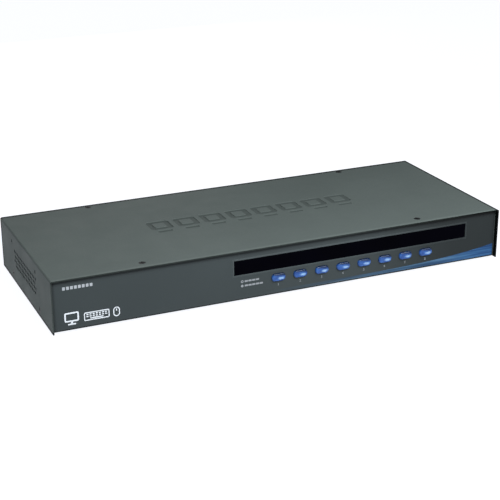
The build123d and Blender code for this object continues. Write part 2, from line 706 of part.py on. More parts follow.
with BuildPart() as usb_shell:
    with BuildSketch(upright(USB_FRONT)):
        with Locations((USB_X, usb_middle)):
            Rectangle(*USB_BLOCK)
    extrude(amount=-(USB_FACE - USB_FRONT))
    with BuildSketch(upright(USB_FACE)):
        with Locations((USB_X, usb_middle)):
            with GridLocations(0, USB_RISE, 1, 2):
                Rectangle(*USB_MOUTH)
    extrude(amount=USB_MOUTH_DEPTH, mode=Mode.SUBTRACT)
usb_shell.part.label = "usb_shell"
export_step(usb_shell.part, "parts/usb_shell.step")

with BuildPart() as usb_tongues:
    with BuildSketch(upright(USB_FACE - USB_MOUTH_DEPTH)):
        with Locations((USB_X, usb_middle + TONGUE_LIFT)):
            with GridLocations(0, USB_RISE, 1, 2):
                Rectangle(*TONGUE_SIZE)
    extrude(amount=-TONGUE_LENGTH)
usb_tongues.part.label = "usb_tongues"
export_step(usb_tongues.part, "parts/usb_tongues.step")

# ======== power inlet: round socket with a centre pin ========
POWER_FRONT = 146.0
POWER_FACE = CASE_DEPTH + 0.5
POWER_HOLE_R = 3.2
POWER_HOLE_DEPTH = 9.0
POWER_PIN_R = 1.05
POWER_PIN_SHORT = 1.0
POWER_PIN_EDGE = 0.5
POWER_RISE = 6.4            # centre of the hole above the board

with BuildPart() as power_inlet:
    with BuildSketch(upright(POWER_FRONT)):
        with Locations((POWER_X, BOARD_TOP + POWER_BLOCK[1] / 2)):
            Rectangle(*POWER_BLOCK)
    extrude(amount=-(POWER_FACE - POWER_FRONT))
    with BuildSketch(upright(POWER_FACE)):
        with Locations((POWER_X, BOARD_TOP + POWER_RISE)):
            Circle(POWER_HOLE_R)
    extrude(amount=POWER_HOLE_DEPTH, mode=Mode.SUBTRACT)
power_inlet.part.label = "power_inlet"
export_step(power_inlet.part, "parts/power_inlet.step")

with BuildPart() as power_pin:
    with BuildSketch(upright(POWER_FACE - POWER_HOLE_DEPTH)):
        with Locations((POWER_X, BOARD_TOP + POWER_RISE)):
            Circle(POWER_PIN_R)
    extrude(amount=-(POWER_HOLE_DEPTH - POWER_PIN_SHORT))
    fillet(power_pin.edges().group_by(Axis.Y)[-1], POWER_PIN_EDGE)
power_pin.part.label = "power_pin"
export_step(power_pin.part, "parts/power_pin.step")

# ======== lamps behind the window ========
LED_R = 1.5
LED_BODY = 3.2
LED_COLLAR_R = 1.85
LED_COLLAR = 0.8
LED_RISE = 3.0
HOLDER_FRONT = 5.7
HOLDER_BACK = 12.0
HOLDER_SIZE = (214.0, 12.4)
HOLDER_HOLE_R = 1.65
WELL_R = 2.4
WELL_DEPTH = 1.8

with BuildPart() as led_holder:
    with BuildSketch(upright(HOLDER_FRONT)):
        with Locations((CONTROLS_X, WINDOW_Z)):
            Rectangle(*HOLDER_SIZE)
            with GridLocations(BUTTON_PITCH, 2 * LED_RISE, PORT_COUNT, 2):
                Circle(HOLDER_HOLE_R, mode=Mode.SUBTRACT)
    extrude(amount=-(HOLDER_BACK - HOLDER_FRONT))
    with BuildSketch(upright(HOLDER_FRONT)):
        with Locations((CONTROLS_X, WINDOW_Z)):
            with GridLocations(BUTTON_PITCH, 2 * LED_RISE, PORT_COUNT, 2):
                Circle(WELL_R)
    extrude(amount=-WELL_DEPTH, mode=Mode.SUBTRACT)
led_holder.part.label = "led_holder"
export_step(led_holder.part, "parts/led_holder.step")


def lamps(height):
    """A row of eight round LEDs: a collar on the board, a body and a domed tip."""
    collar_front = front_board_front - LED_COLLAR
    tip = collar_front - LED_BODY
    with BuildPart() as row:
        with BuildSketch(upright(collar_front)):
            with Locations((CONTROLS_X, height)):
                with GridLocations(BUTTON_PITCH, 0, PORT_COUNT, 1):
                    Circle(LED_COLLAR_R)
        extrude(amount=-LED_COLLAR)
        with BuildSketch(upright(collar_front)):
            with Locations((CONTROLS_X, height)):
                with GridLocations(BUTTON_PITCH, 0, PORT_COUNT, 1):
                    Circle(LED_R)
        extrude(amount=LED_BODY)
        with Locations(*[(x, Y_FRONT + tip, height) for x in button_xs]):
            Sphere(LED_R)
    return row


online_leds = lamps(WINDOW_Z + LED_RISE)
online_leds.part.label = "online_leds"
export_step(online_leds.part, "parts/online_leds.step")

selected_leds = lamps(WINDOW_Z - LED_RISE)
selected_leds.part.label = "selected_leds"
export_step(selected_leds.part, "parts/selected_leds.step")

# ======== ribbon cable between the two boards ========
RIBBON_X = -20.0
RIBBON_WIDTH = 25.4
RIBBON = 1.0
HEADER_LENGTH = 32.0
HEADER = 8.8
HEADER_CHAMFER = 0.6
FRONT_HEADER_Z = Z_BOTTOM + 14.0
MAIN_HEADER_DEPTH = 58.0
RIBBON_TOP = Z_BOTTOM + 32.0
RIBBON_DIP = 30.0           # where the cable turns up, behind the front edge
RIBBON_BEND = 4.0

with BuildPart() as front_header:
    with BuildSketch(upright(front_board_back)):
        with Locations((RIBBON_X, FRONT_HEADER_Z)):
            Rectangle(HEADER_LENGTH, HEADER)
    extrude(amount=-HEADER)
    chamfer(front_header.edges().group_by(Axis.Y)[-1], HEADER_CHAMFER)
front_header.part.label = "front_header"
export_step(front_header.part, "parts/front_header.step")

with BuildPart() as main_header:
    with BuildSketch(level(BOARD_TOP)):
        with Locations(at_depth(RIBBON_X, MAIN_HEADER_DEPTH)):
            Rectangle(HEADER_LENGTH, HEADER)
    extrude(amount=HEADER)
    chamfer(main_header.edges().group_by(Axis.Z)[-1], HEADER_CHAMFER)
main_header.part.label = "main_header"
export_step(main_header.part, "parts/main_header.step")

ribbon_start = at_depth(0, front_board_back + HEADER)[1]
ribbon_route = [
    (ribbon_start, FRONT_HEADER_Z),
    (Y_FRONT + RIBBON_DIP + RIBBON_BEND, FRONT_HEADER_Z),
    (Y_FRONT + RIBBON_DIP + RIBBON_BEND, RIBBON_TOP),
    (Y_FRONT + MAIN_HEADER_DEPTH, RIBBON_TOP),
    (Y_FRONT + MAIN_HEADER_DEPTH, BOARD_TOP + HEADER),
]
with BuildPart() as ribbon_cable:
    with BuildSketch(Plane.YZ.offset(RIBBON_X - RIBBON_WIDTH / 2)):
        with BuildLine():
            route = FilletPolyline(*ribbon_route, radius=RIBBON_BEND)
        trace(route, line_width=RIBBON)
    extrude(amount=RIBBON_WIDTH)
ribbon_cable.part.label = "ribbon_cable"
export_step(ribbon_cable.part, "parts/ribbon_cable.step")

# ======== parts on the main board ========
CHIP_SIZE = (12.0, 10.0, 2.0)
CHIP_DEPTH = 128.0
SWITCH_CHIP_SIZE = (10.0, 6.0, 1.8)
SWITCH_CHIP_DEPTH = 108.0
CONTROLLER_SIZE = (20.0, 20.0, 2.2)
CONTROLLER_CORNER = 1.0
CONTROLLER_XS = (-70.0, 20.0)
CONTROLLER_DEPTH = 92.0
CAPACITOR_R = 4.0
CAPACITOR = 11.0
CAPACITOR_EDGE = 0.6
CAPACITOR_SPACING = 14.0
CAPACITOR_DEPTH = 104.0
REGULATOR_X = 150.0
REGULATOR_DEPTH = 72.0
CRYSTAL_SIZE = (11.0, 4.6, 3.5)
CRYSTAL_EDGE = 0.5
CRYSTAL_DEPTH = 74.0
BUZZER_X = -150.0
BUZZER_DEPTH = 92.0
BUZZER_R = 6.0
BUZZER = 9.0
BUZZER_EDGE = 0.6
BUZZER_HOLE_R = 1.0
BUZZER_HOLE_DEPTH = 2.0

with BuildPart() as integrated_circuits:
    with BuildSketch(level(BOARD_TOP)):
        with Locations(*[at_depth(x, CHIP_DEPTH) for x in pc_port_xs]):
            Rectangle(CHIP_SIZE[0], CHIP_SIZE[1])
    extrude(amount=CHIP_SIZE[2])
    with BuildSketch(level(BOARD_TOP)):
        with Locations(*[at_depth(x, SWITCH_CHIP_DEPTH) for x in pc_port_xs]):
            Rectangle(SWITCH_CHIP_SIZE[0], SWITCH_CHIP_SIZE[1])
    extrude(amount=SWITCH_CHIP_SIZE[2])
    with BuildSketch(level(BOARD_TOP)):
        with Locations(*[at_depth(x, CONTROLLER_DEPTH) for x in CONTROLLER_XS]):
            RectangleRounded(CONTROLLER_SIZE[0], CONTROLLER_SIZE[1], CONTROLLER_CORNER)
    extrude(amount=CONTROLLER_SIZE[2])
integrated_circuits.part.label = "integrated_circuits"
export_step(integrated_circuits.part, "parts/integrated_circuits.step")

with BuildPart() as electrolytic_capacitors:
    with BuildSketch(level(BOARD_TOP)):
        with Locations(at_depth(POWER_X - CAPACITOR_SPACING, CAPACITOR_DEPTH)):
            with GridLocations(CAPACITOR_SPACING, CAPACITOR_SPACING, 3, 2):
                Circle(CAPACITOR_R)
    extrude(amount=CAPACITOR)
    fillet(electrolytic_capacitors.edges().group_by(Axis.Z)[-1], CAPACITOR_EDGE)
electrolytic_capacitors.part.label = "electrolytic_capacitors"
export_step(electrolytic_capacitors.part, "parts/electrolytic_capacitors.step")

# ---- voltage regulator with its tab bolted to a finned heat sink ----
REGULATOR_BODY = (10.0, 4.5, 9.0)
REGULATOR_STAND = 4.0
TAB_SIZE = (10.0, 1.3, 15.5)
LEAD_PITCH = 2.54
LEAD_SIZE = (0.8, 0.6)
SINK_BASE = (22.0, 2.0, 22.0)
FIN_SIZE = (1.0, 8.0)
FIN_PITCH = 4.2
FIN_COUNT = 6
tab_depth = REGULATOR_DEPTH + (REGULATOR_BODY[1] + TAB_SIZE[1]) / 2
sink_depth = tab_depth + (TAB_SIZE[1] + SINK_BASE[1]) / 2
fin_depth = sink_depth + (SINK_BASE[1] + FIN_SIZE[1]) / 2

with BuildPart() as voltage_regulator:
    with BuildSketch(level(BOARD_TOP + REGULATOR_STAND)):
        with Locations(at_depth(REGULATOR_X, REGULATOR_DEPTH)):
            Rectangle(REGULATOR_BODY[0], REGULATOR_BODY[1])
    extrude(amount=REGULATOR_BODY[2])
    with BuildSketch(level(BOARD_TOP + REGULATOR_STAND)):
        with Locations(at_depth(REGULATOR_X, tab_depth)):
            Rectangle(TAB_SIZE[0], TAB_SIZE[1])
    extrude(amount=TAB_SIZE[2])
    with BuildSketch(level(BOARD_TOP)):
        with Locations(at_depth(REGULATOR_X, REGULATOR_DEPTH)):
            with GridLocations(LEAD_PITCH, 0, 3, 1):
                Rectangle(*LEAD_SIZE)
    extrude(amount=REGULATOR_STAND)
voltage_regulator.part.label = "voltage_regulator"
export_step(voltage_regulator.part, "parts/voltage_regulator.step")

with BuildPart() as heat_sink:
    with BuildSketch(level(BOARD_TOP)):
        with Locations(at_depth(REGULATOR_X, sink_depth)):
            Rectangle(SINK_BASE[0], SINK_BASE[1])
        with Locations(at_depth(REGULATOR_X, fin_depth)):
            with GridLocations(FIN_PITCH, 0, FIN_COUNT, 1):
                Rectangle(*FIN_SIZE)
    extrude(amount=SINK_BASE[2])
heat_sink.part.label = "heat_sink"
export_step(heat_sink.part, "parts/heat_sink.step")

with BuildPart() as crystal:
    with BuildSketch(level(BOARD_TOP)):
        with Locations(at_depth(CONTROLLER_XS[1], CRYSTAL_DEPTH)):
            SlotOverall(CRYSTAL_SIZE[0], CRYSTAL_SIZE[1])
    extrude(amount=CRYSTAL_SIZE[2])
    fillet(crystal.edges().group_by(Axis.Z)[-1], CRYSTAL_EDGE)
crystal.part.label = "crystal"
export_step(crystal.part, "parts/crystal.step")

with BuildPart() as buzzer:
    with BuildSketch(level(BOARD_TOP)):
        with Locations(at_depth(BUZZER_X, BUZZER_DEPTH)):
            Circle(BUZZER_R)
    extrude(amount=BUZZER)
    with BuildSketch(level(BOARD_TOP + BUZZER)):
        with Locations(at_depth(BUZZER_X, BUZZER_DEPTH)):
            Circle(BUZZER_HOLE_R)
    extrude(amount=-BUZZER_HOLE_DEPTH, mode=Mode.SUBTRACT)
    fillet(buzzer.edges().group_by(Axis.Z)[-1].sort_by(SortBy.LENGTH)[-1], BUZZER_EDGE)
buzzer.part.label = "buzzer"
export_step(buzzer.part, "parts/buzzer.step")

# ======== screws and clinch nuts of the case ========
SCREW_LENGTH = 4.6
COUNTERSINK_HEAD = 0.92
HEAD_SINK = 0.05
HEAD_GAP = 0.1
NUT_R = 3.0
NUT = 2.0


def countersunk_screws(face, places, length):
    """Cross-recess screws whose heads lie just below a face of the case."""
    with BuildPart() as screws:
        with BuildSketch(face.offset(-HEAD_SINK)):
            with Locations(*places):
                Circle(COUNTERSINK_R - HEAD_GAP)
        extrude(amount=-(COUNTERSINK_HEAD - HEAD_SINK), taper=COUNTERSINK_ANGLE / 2)
        with BuildSketch(face.offset(-COUNTERSINK_HEAD / 2)):
            with Locations(*places):
                Circle(M3_SHANK_R)
        extrude(amount=-length)
        with BuildSketch(face.offset(-HEAD_SINK)):
            with Locations(*places):
                Rectangle(CROSS_LENGTH, CROSS_WIDTH)
                Rectangle(CROSS_WIDTH, CROSS_LENGTH)
        extrude(amount=-CROSS_DEPTH / 2, mode=Mode.SUBTRACT)
    return screws


cover_top_screws = countersunk_screws(level(Z_TOP), top_screw_places, SCREW_LENGTH)
cover_top_screws.part.label = "cover_top_screws"
export_step(cover_top_screws.part, "parts/cover_top_screws.step")

right_side_places = on_side(1, SIDE_SCREW_DEPTHS, SIDE_SCREW_Z)
right_side_screws = countersunk_screws(side_face(1), right_side_places, SCREW_LENGTH)
with BuildPart() as cover_side_screws:
    add(right_side_screws.part)
    mirror(about=Plane.YZ)
cover_side_screws.part.label = "cover_side_screws"
export_step(cover_side_screws.part, "parts/cover_side_screws.step")

with BuildPart() as tray_nuts:
    with BuildSketch(level(TRAY_TOP - SHEET)):
        with Locations(*top_screw_places):
            Circle(NUT_R)
            Circle(M3_R, mode=Mode.SUBTRACT)
    extrude(amount=-NUT)
    with BuildSketch(Plane.YZ.offset(TRAY_WIDTH / 2 - SHEET)):
        with Locations(*side_screw_places):
            Circle(NUT_R)
            Circle(M3_R, mode=Mode.SUBTRACT)
    side_nuts = extrude(amount=-NUT)
    mirror(side_nuts, about=Plane.YZ)
tray_nuts.part.label = "tray_nuts"
export_step(tray_nuts.part, "parts/tray_nuts.step")

with BuildPart() as rack_ear_nuts:
    with BuildSketch(Plane.YZ.offset(CASE_WIDTH / 2 - SHEET)):
        with Locations(*rack_hole_places):
            Circle(NUT_R)
            Circle(M3_R, mode=Mode.SUBTRACT)
    extrude(amount=-NUT)
    mirror(about=Plane.YZ)
rack_ear_nuts.part.label = "rack_ear_nuts"
export_step(rack_ear_nuts.part, "parts/rack_ear_nuts.step")

# ======== rubber feet, stuck under the floor ========
FOOT_R = 7.0
FOOT_X = 168.0
FOOT_DEPTHS = {"front": 22.0, "rear": 138.0}
FOOT_EDGE = 0.8
FOOT_DIMPLE_R = 3.5
FOOT_DIMPLE = 0.8

for end, depth in FOOT_DEPTHS.items():
    for side, x in (("left", -FOOT_X), ("right", FOOT_X)):
        with BuildPart() as foot:
            with BuildSketch(level(0)):
                with Locations(at_depth(x, depth)):
                    Circle(FOOT_R)
            extrude(amount=FOOT_HEIGHT)
            fillet(foot.edges().group_by(Axis.Z)[0], FOOT_EDGE)
            with BuildSketch(level(0)):
                with Locations(at_depth(x, depth)):
                    Circle(FOOT_DIMPLE_R)
            extrude(amount=FOOT_DIMPLE, mode=Mode.SUBTRACT)
        foot.part.label = f"foot_{end}_{side}"
        export_step(foot.part, f"parts/foot_{end}_{side}.step")
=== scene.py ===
"""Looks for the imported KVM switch: materials, printed marks, floor, light and camera. Metres."""
import json
import math

import bmesh
import bpy
from mathutils import Matrix, Vector


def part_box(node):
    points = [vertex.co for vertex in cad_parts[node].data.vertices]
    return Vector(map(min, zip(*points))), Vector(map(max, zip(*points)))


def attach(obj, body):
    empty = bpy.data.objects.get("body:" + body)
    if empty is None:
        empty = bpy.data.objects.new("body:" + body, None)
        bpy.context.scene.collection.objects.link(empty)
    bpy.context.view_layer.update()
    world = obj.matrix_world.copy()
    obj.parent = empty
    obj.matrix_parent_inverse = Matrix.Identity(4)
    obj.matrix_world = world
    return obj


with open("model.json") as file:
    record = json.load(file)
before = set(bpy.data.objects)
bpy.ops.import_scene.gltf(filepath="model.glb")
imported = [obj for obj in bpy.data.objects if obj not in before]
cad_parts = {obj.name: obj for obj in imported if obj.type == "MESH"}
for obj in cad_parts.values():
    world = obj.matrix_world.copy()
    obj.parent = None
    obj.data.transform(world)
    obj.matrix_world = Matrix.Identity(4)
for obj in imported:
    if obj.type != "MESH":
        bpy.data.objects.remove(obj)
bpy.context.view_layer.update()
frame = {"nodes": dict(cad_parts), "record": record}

MM = 0.001
nodes = frame["nodes"]
mounts = {m["name"]: m for m in frame["record"]["mounts"]}
cover_low, cover_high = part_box("top_cover")
panel_low, panel_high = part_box("front_overlay")
window_low, window_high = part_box("display_window")
tray_low, tray_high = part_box("chassis_tray")
button_names = sorted(n for n in nodes if n.startswith("button_"))

# ---------------------------------------------------------------- materials

NOISE_LOW, NOISE_HIGH = 0.3, 0.7      # most of a noise pattern lies between these
EDGE_FLAT, EDGE_BENT = 0.995, 0.8     # likeness of the plain and bevelled normals, off an edge and on it


def shade(colour, factor):
    """A lighter or darker colour."""
    return tuple(min(1.0, c * factor) for c in colour)


class Surface:
    """A principled material with short calls that add detail to it."""

    def __init__(self, name, **sockets):
        self.material = bpy.data.materials.new(name)
        self.material.use_nodes = True
        self.tree = self.material.node_tree
        self.shader = self.tree.nodes["Principled BSDF"]
        for socket, value in sockets.items():
            self.shader.inputs[socket.replace("_", " ")].default_value = value
        self.place = self.add("ShaderNodeTexCoord").outputs["Object"]

    def add(self, kind, **settings):
        """A new node with these settings."""
        node = self.tree.nodes.new(kind)
        for key, value in settings.items():
            setattr(node, key, value)
        return node

    def feed(self, socket, source):
        """Gives a socket a number, or what comes out of another node."""
        if isinstance(source, (int, float)):
            socket.default_value = source
        else:
            self.tree.links.new(source, socket)

    def scaled(self, stretch):
        """The place on the object, with each axis scaled."""
        mapping = self.add("ShaderNodeMapping")
        self.feed(mapping.inputs["Vector"], self.place)
        mapping.inputs["Scale"].default_value = stretch
        return mapping.outputs["Vector"]

    def noise(self, size, detail=3.0, roughness=0.5, stretch=(1, 1, 1)):
        """Cloudy pattern whose features are about `size` across."""
        node = self.add("ShaderNodeTexNoise")
        self.feed(node.inputs["Vector"], self.scaled(stretch))
        node.inputs["Scale"].default_value = 1 / size
        node.inputs["Detail"].default_value = detail
        node.inputs["Roughness"].default_value = roughness
        return node.outputs["Fac"]

    def axis(self, letter):
        """One coordinate of the place on the object."""
        split = self.add("ShaderNodeSeparateXYZ")
        self.feed(split.inputs["Vector"], self.place)
        return split.outputs[letter]

    def maths(self, operation, first, second=0.0):
        """One step of arithmetic on one or two values."""
        node = self.add("ShaderNodeMath", operation=operation)
        self.feed(node.inputs[0], first)
        self.feed(node.inputs[1], second)
        return node.outputs["Value"]

    def between(self, value, low, high, out_low=0.0, out_high=1.0, smooth=False):
        """Goes from out_low to out_high as the value goes from low to high, and no further."""
        node = self.add("ShaderNodeMapRange")
        node.interpolation_type = "SMOOTHSTEP" if smooth else "LINEAR"
        self.feed(node.inputs["Value"], value)
        node.inputs["From Min"].default_value = low
        node.inputs["From Max"].default_value = high
        node.inputs["To Min"].default_value = out_low
        node.inputs["To Max"].default_value = out_high
        return node.outputs["Result"]

    def beyond(self, value, limit, side, soft=0.2 * MM):
        """1 where the value is past the limit, towards side 1 (up) or -1 (down)."""
        return self.between(value, limit - side * soft, limit + side * soft)

    def all_of(self, first, *others):
        """Mask of the places where every mask holds."""
        for other in others:
            first = self.maths("MINIMUM", first, other)
        return first

    def any_of(self, first, *others):
        """Mask of the places where any mask holds."""
        for other in others:
            first = self.maths("MAXIMUM", first, other)
        return first

    def ramp(self, value, *stops):
        """Colours along a value: each stop is (position, (r, g, b))."""
        node = self.add("ShaderNodeValToRGB")
        self.feed(node.inputs["Fac"], value)
        elements = node.color_ramp.elements
        while len(elements) < len(stops):
            elements.new(0.5)
        for element, (position, colour) in zip(elements, stops):
            element.position = position
            element.color = (*colour, 1)
        return node.outputs["Color"]

    def mix(self, amount, first, second):
        """The first colour where the amount is 0, and the second where it is 1."""
        node = self.add("ShaderNodeMix", data_type="RGBA")
        self.feed(node.inputs["Factor"], amount)
        for socket, source in (("A", first), ("B", second)):
            target = [i for i in node.inputs if i.name == socket and i.type == "RGBA"][0]
            if isinstance(source, tuple):
                target.default_value = (*source, 1)
            else:
                self.feed(target, source)
        return [o for o in node.outputs if o.type == "RGBA"][0]

    def edges(self, width):
        """1 within about `width` of a hard edge, 0 elsewhere."""
        bevel = self.add("ShaderNodeBevel", samples=6)
        bevel.inputs["Radius"].default_value = width
        flat = self.add("ShaderNodeNewGeometry")
        dot = self.add("ShaderNodeVectorMath", operation="DOT_PRODUCT")
        self.feed(dot.inputs[0], bevel.outputs["Normal"])
        self.feed(dot.inputs[1], flat.outputs["Normal"])
        return self.between(dot.outputs["Value"], EDGE_FLAT, EDGE_BENT)

    def mottle(self, pattern, colour, darker, lighter):
        """A colour that a noise pattern makes darker and lighter by these factors."""
        dark, light = shade(colour, darker), shade(colour, lighter)
        return self.ramp(pattern, (NOISE_LOW, dark), (NOISE_HIGH, light))

    def colour(self, source):
        """Sets the colour of the surface."""
        self.feed(self.shader.inputs["Base Color"], source)

    def roughness(self, source):
        """Sets the roughness of the surface."""
        self.feed(self.shader.inputs["Roughness"], source)

    def patchy_roughness(self, size, low, high, detail=3.0):
        """Roughness that goes from low to high in patches about `size` across."""
        self.roughness(self.between(self.noise(size, detail=detail), NOISE_LOW, NOISE_HIGH, low, high))

    def bump(self, height, depth, strength=1.0):
        """Relief of about `depth`, on top of any relief added before."""
        node = self.add("ShaderNodeBump")
        node.inputs["Strength"].default_value = strength
        node.inputs["Distance"].default_value = depth
        self.feed(node.inputs["Height"], height)
        socket = self.shader.inputs["Normal"]
        if socket.is_linked:
            self.feed(node.inputs["Normal"], socket.links[0].from_socket)
        self.feed(socket, node.outputs["Normal"])


GRIT_SHARE = 0.35          # how much of the paint's colour comes from its grit
WEAR_STRENGTH = 0.35       # how far a rubbed edge goes towards the lighter colour
WORN_PAINT = 1.7           # that colour, over the paint's own
BARE_SHADE_DARK = (0.001, 0.0016, 0.0016)
BARE_SHADE_PALE = (0.0026, 0.0036, 0.0036)


def powder_coat(name, colour, roughness, bare_and_shade=None, tints=()):
    """Fine matt powder paint on sheet steel, a little lighter where edges are rubbed.

    An optional mask makes the paint near-black: unpainted, blackened steel, and painted shade. Each tint
    is a mask of painted shade or of a painted highlight, and the factor by which the paint is lighter or
    darker there.
    """
    s = Surface(name, Roughness=roughness, Specular_IOR_Level=0.03)
    grain = s.noise(0.7 * MM, detail=2)
    cloud = s.noise(60 * MM, detail=4)
    speckle = s.noise(1.6 * MM, detail=5, roughness=0.7)
    body = s.mottle(cloud, colour, 0.93, 1.05)
    grit = s.ramp(speckle, (0.35, shade(colour, 0.9)), (0.65, shade(colour, 1.1)))
    paint = s.mix(GRIT_SHARE, body, grit)
    worn = s.maths("MULTIPLY", s.edges(0.5 * MM), s.between(s.noise(9 * MM), 0.35, 0.7))
    paint = s.mix(s.maths("MULTIPLY", worn, WEAR_STRENGTH), paint, shade(colour, WORN_PAINT))
    # painted shade and painted highlights, from the tints
    for mask, factor in tints:
        paint = s.mix(mask(s), paint, shade(colour, factor))
    if bare_and_shade:
        # near-black where the mask holds: unpainted steel, and painted shade
        steel = s.ramp(speckle, (NOISE_LOW, BARE_SHADE_DARK), (NOISE_HIGH, BARE_SHADE_PALE))
        paint = s.mix(bare_and_shade(s), paint, steel)
    s.colour(paint)
    s.patchy_roughness(25 * MM, roughness - 0.06, roughness + 0.05, detail=5)
    s.bump(grain, 0.04 * MM, 0.8)
    s.bump(s.noise(3 * MM, detail=1), 0.02 * MM, 0.3)
    return s.material


def moulded(name, colour, roughness, grain=0.35 * MM, depth=0.01 * MM, vary=0.06):
    """Injection-moulded plastic with a faint spark-eroded texture."""
    s = Surface(name, Roughness=roughness)
    cloud = s.noise(8 * MM, detail=4)
    s.colour(s.mottle(cloud, colour, 1 - vary, 1 + vary))
    s.patchy_roughness(4 * MM, roughness - 0.05, roughness + 0.05)
    s.bump(s.noise(grain, detail=2), depth, 0.6)
    return s.material


def plated(name, colour, roughness, streak=(1, 1, 14), metallic=1.0, specular=0.5):
    """Plated metal with fine drawn lines, duller in patches and brighter at the edges."""
    s = Surface(name, Metallic=metallic, Roughness=roughness, Specular_IOR_Level=specular)
    lines = s.noise(0.5 * MM, detail=3, stretch=streak)
    patch = s.noise(5 * MM, detail=5)
    base = s.mottle(patch, colour, 0.82, 1.05)
    s.colour(s.mix(s.maths("MULTIPLY", s.edges(0.25 * MM), 0.5), base, shade(colour, 1.2)))
    s.roughness(s.between(patch, NOISE_LOW, NOISE_HIGH, roughness - 0.06, roughness + 0.12))
    s.bump(lines, 0.01 * MM, 0.5)
    return s.material


COVER_GREY = (0.079, 0.097, 0.094)
TRAY_GREY = (0.052, 0.065, 0.065)
PANEL_GREY = (0.0335, 0.0422, 0.0445)
LENS_BLACK = (0.0003, 0.0003, 0.0012)
INK_WHITE = (0.6, 0.65, 0.7)
INK_PALE = (0.3, 0.33, 0.36)
INK_GREY = (0.2, 0.22, 0.24)

# how deep in the cover's sheet each painted surface is taken to reach; deeper in, the sheet is near-black:
# unpainted steel, and painted shade in the holes and inside
SIDE_SKIN = 0.25 * MM
TOP_SKIN = 0.75 * MM         # deeper than the pressed pattern
BEND_SKIN = 1.5 * MM         # the long bends between the top and the sides
FRONT_SKIN = 0.06 * MM       # the front cut edge
FRONT_SOFT = 0.04 * MM       # half of the depth over which that one fades
EDGE_SKIN = 0.3 * MM         # the rear and bottom cut edges
LEFT_END = 2 * MM            # width of the front cut edge's part that runs down the left side
MIDDLE_EDGE_DARK = 0.74           # how dark the front cut edge is, as unpainted steel and painted shade, except near its right end, which is darkest
LEFT_END_EDGE_DARK = 0.7          # what is left of that down the left side, where the painted shade is lighter

# widths of the bands of painted shade, and of the painted highlight along the front
REAR_BAND = 3.2 * MM
BOTTOM_BAND = 2.2 * MM
RIGHT_BAND = 3.0 * MM
FRONT_BAND = 3.2 * MM
FOLD_BAND = 1.6 * MM
PATTERN_REACH = 150 * MM     # the pressed pattern lies within this distance of the middle

# bands of painted shade and painted shadow in the panel's print
LIP_BAND = 4.6 * MM          # where the band under the cover's lip starts, below the cover's top
LIP_FULL = 2.7 * MM          # where it is darkest
LEFT_BAND = 1.4 * MM
LEFT_STRENGTH = 0.4
FOOT_BAND = 0.9 * MM
FOOT_STRENGTH = 0.9
PRINT_GRAIN = 0.4            # how much of the sheet's colour comes from its fine dots


def cover_bare(s):
    """Near-black on the cover's cut edges and its inside: unpainted steel, and painted shade in its holes,
    inside and at the front edge's right end.
    """
    x, y, z = s.axis("X"), s.axis("Y"), s.axis("Z")
    away = s.maths("ABSOLUTE", x)
    outer_sides = s.beyond(away, cover_high.x - SIDE_SKIN, 1, soft=0.1 * MM)
    outer_top = s.beyond(z, cover_high.z - TOP_SKIN, 1, soft=0.1 * MM)
    bend_side = s.beyond(away, cover_high.x - BEND_SKIN, 1)
    bend = s.all_of(bend_side, s.beyond(z, cover_high.z - BEND_SKIN, 1))
    painted = s.any_of(outer_sides, outer_top, bend)
    front = s.beyond(y, cover_low.y + FRONT_SKIN, -1, soft=FRONT_SOFT)
    # the front edge is near-black as unpainted steel and painted shade: some paint stays on it, most of it
    # down the left end, and none at its right end
    front = s.maths("MULTIPLY", front, s.between(x, 50 * MM, 190 * MM, MIDDLE_EDGE_DARK, 1.0))
    down = s.beyond(z, cover_high.z - LEFT_END, -1)
    left_end = s.all_of(s.beyond(x, cover_low.x + LEFT_END, -1), down)
    front = s.maths("MULTIPLY", front, s.between(left_end, 0, 1, 1.0, LEFT_END_EDGE_DARK))
    rear = s.beyond(y, cover_high.y - EDGE_SKIN, 1)
    bottom = s.beyond(z, cover_low.z + EDGE_SKIN, -1)
    # painted shade on the hole walls and the cover's inside, behind the front edge
    behind_front = s.beyond(y, cover_low.y + FRONT_SKIN, 1, soft=FRONT_SOFT)
    inside = s.all_of(s.maths("SUBTRACT", 1.0, painted), behind_front)
    return s.any_of(front, rear, bottom, inside)


def cover_recess(s):
    """The floor of the pattern pressed in the top, darkened as painted shade."""
    up = s.axis("Z")
    below = s.between(up, cover_high.z - 0.1 * MM, cover_high.z - 0.45 * MM)
    above = s.between(up, cover_high.z - 0.6 * MM, cover_high.z - 0.55 * MM)
    inland = s.between(s.maths("ABSOLUTE", s.axis("X")), PATTERN_REACH, PATTERN_REACH - 1 * MM)
    return s.all_of(below, above, inland)


def cover_rim(s):
    """Painted shade: a darker band along the cover's rear and lower edges, and along the top's right end.
    """
    x, y, z = s.axis("X"), s.axis("Y"), s.axis("Z")
    rear = s.beyond(y, cover_high.y - REAR_BAND, 1, soft=0.8 * MM)
    bottom = s.beyond(z, cover_low.z + BOTTOM_BAND, -1, soft=0.5 * MM)
    top = s.beyond(z, cover_high.z - 0.8 * MM, 1)
    right = s.all_of(s.beyond(x, cover_high.x - RIGHT_BAND, 1, soft=0.6 * MM), top)
    return s.any_of(rear, bottom, right)


def cover_front_rub(s):
    """A painted highlight along the top's front edge, patchy and clearer to the right."""
    front = s.beyond(s.axis("Y"), cover_low.y + FRONT_BAND, -1, soft=1.2 * MM)
    top = s.beyond(s.axis("Z"), cover_high.z - 0.4 * MM, 1, soft=0.1 * MM)
    patchy = s.between(s.noise(12 * MM), 0.3, 0.6, 0.6, 1.0)
    along = s.between(s.axis("X"), cover_low.x, 180 * MM, 0.5, 1.0)
    return s.maths("MULTIPLY", s.all_of(front, top), s.maths("MULTIPLY", patchy, along))


def tray_fold(s):
    """The fold along the bottom of the tray's front wall, darkened as painted shade."""
    front = s.beyond(s.axis("Y"), tray_low.y + FOLD_BAND, -1)
    low = s.beyond(s.axis("Z"), tray_low.z + FOLD_BAND, -1)
    return s.all_of(front, low)


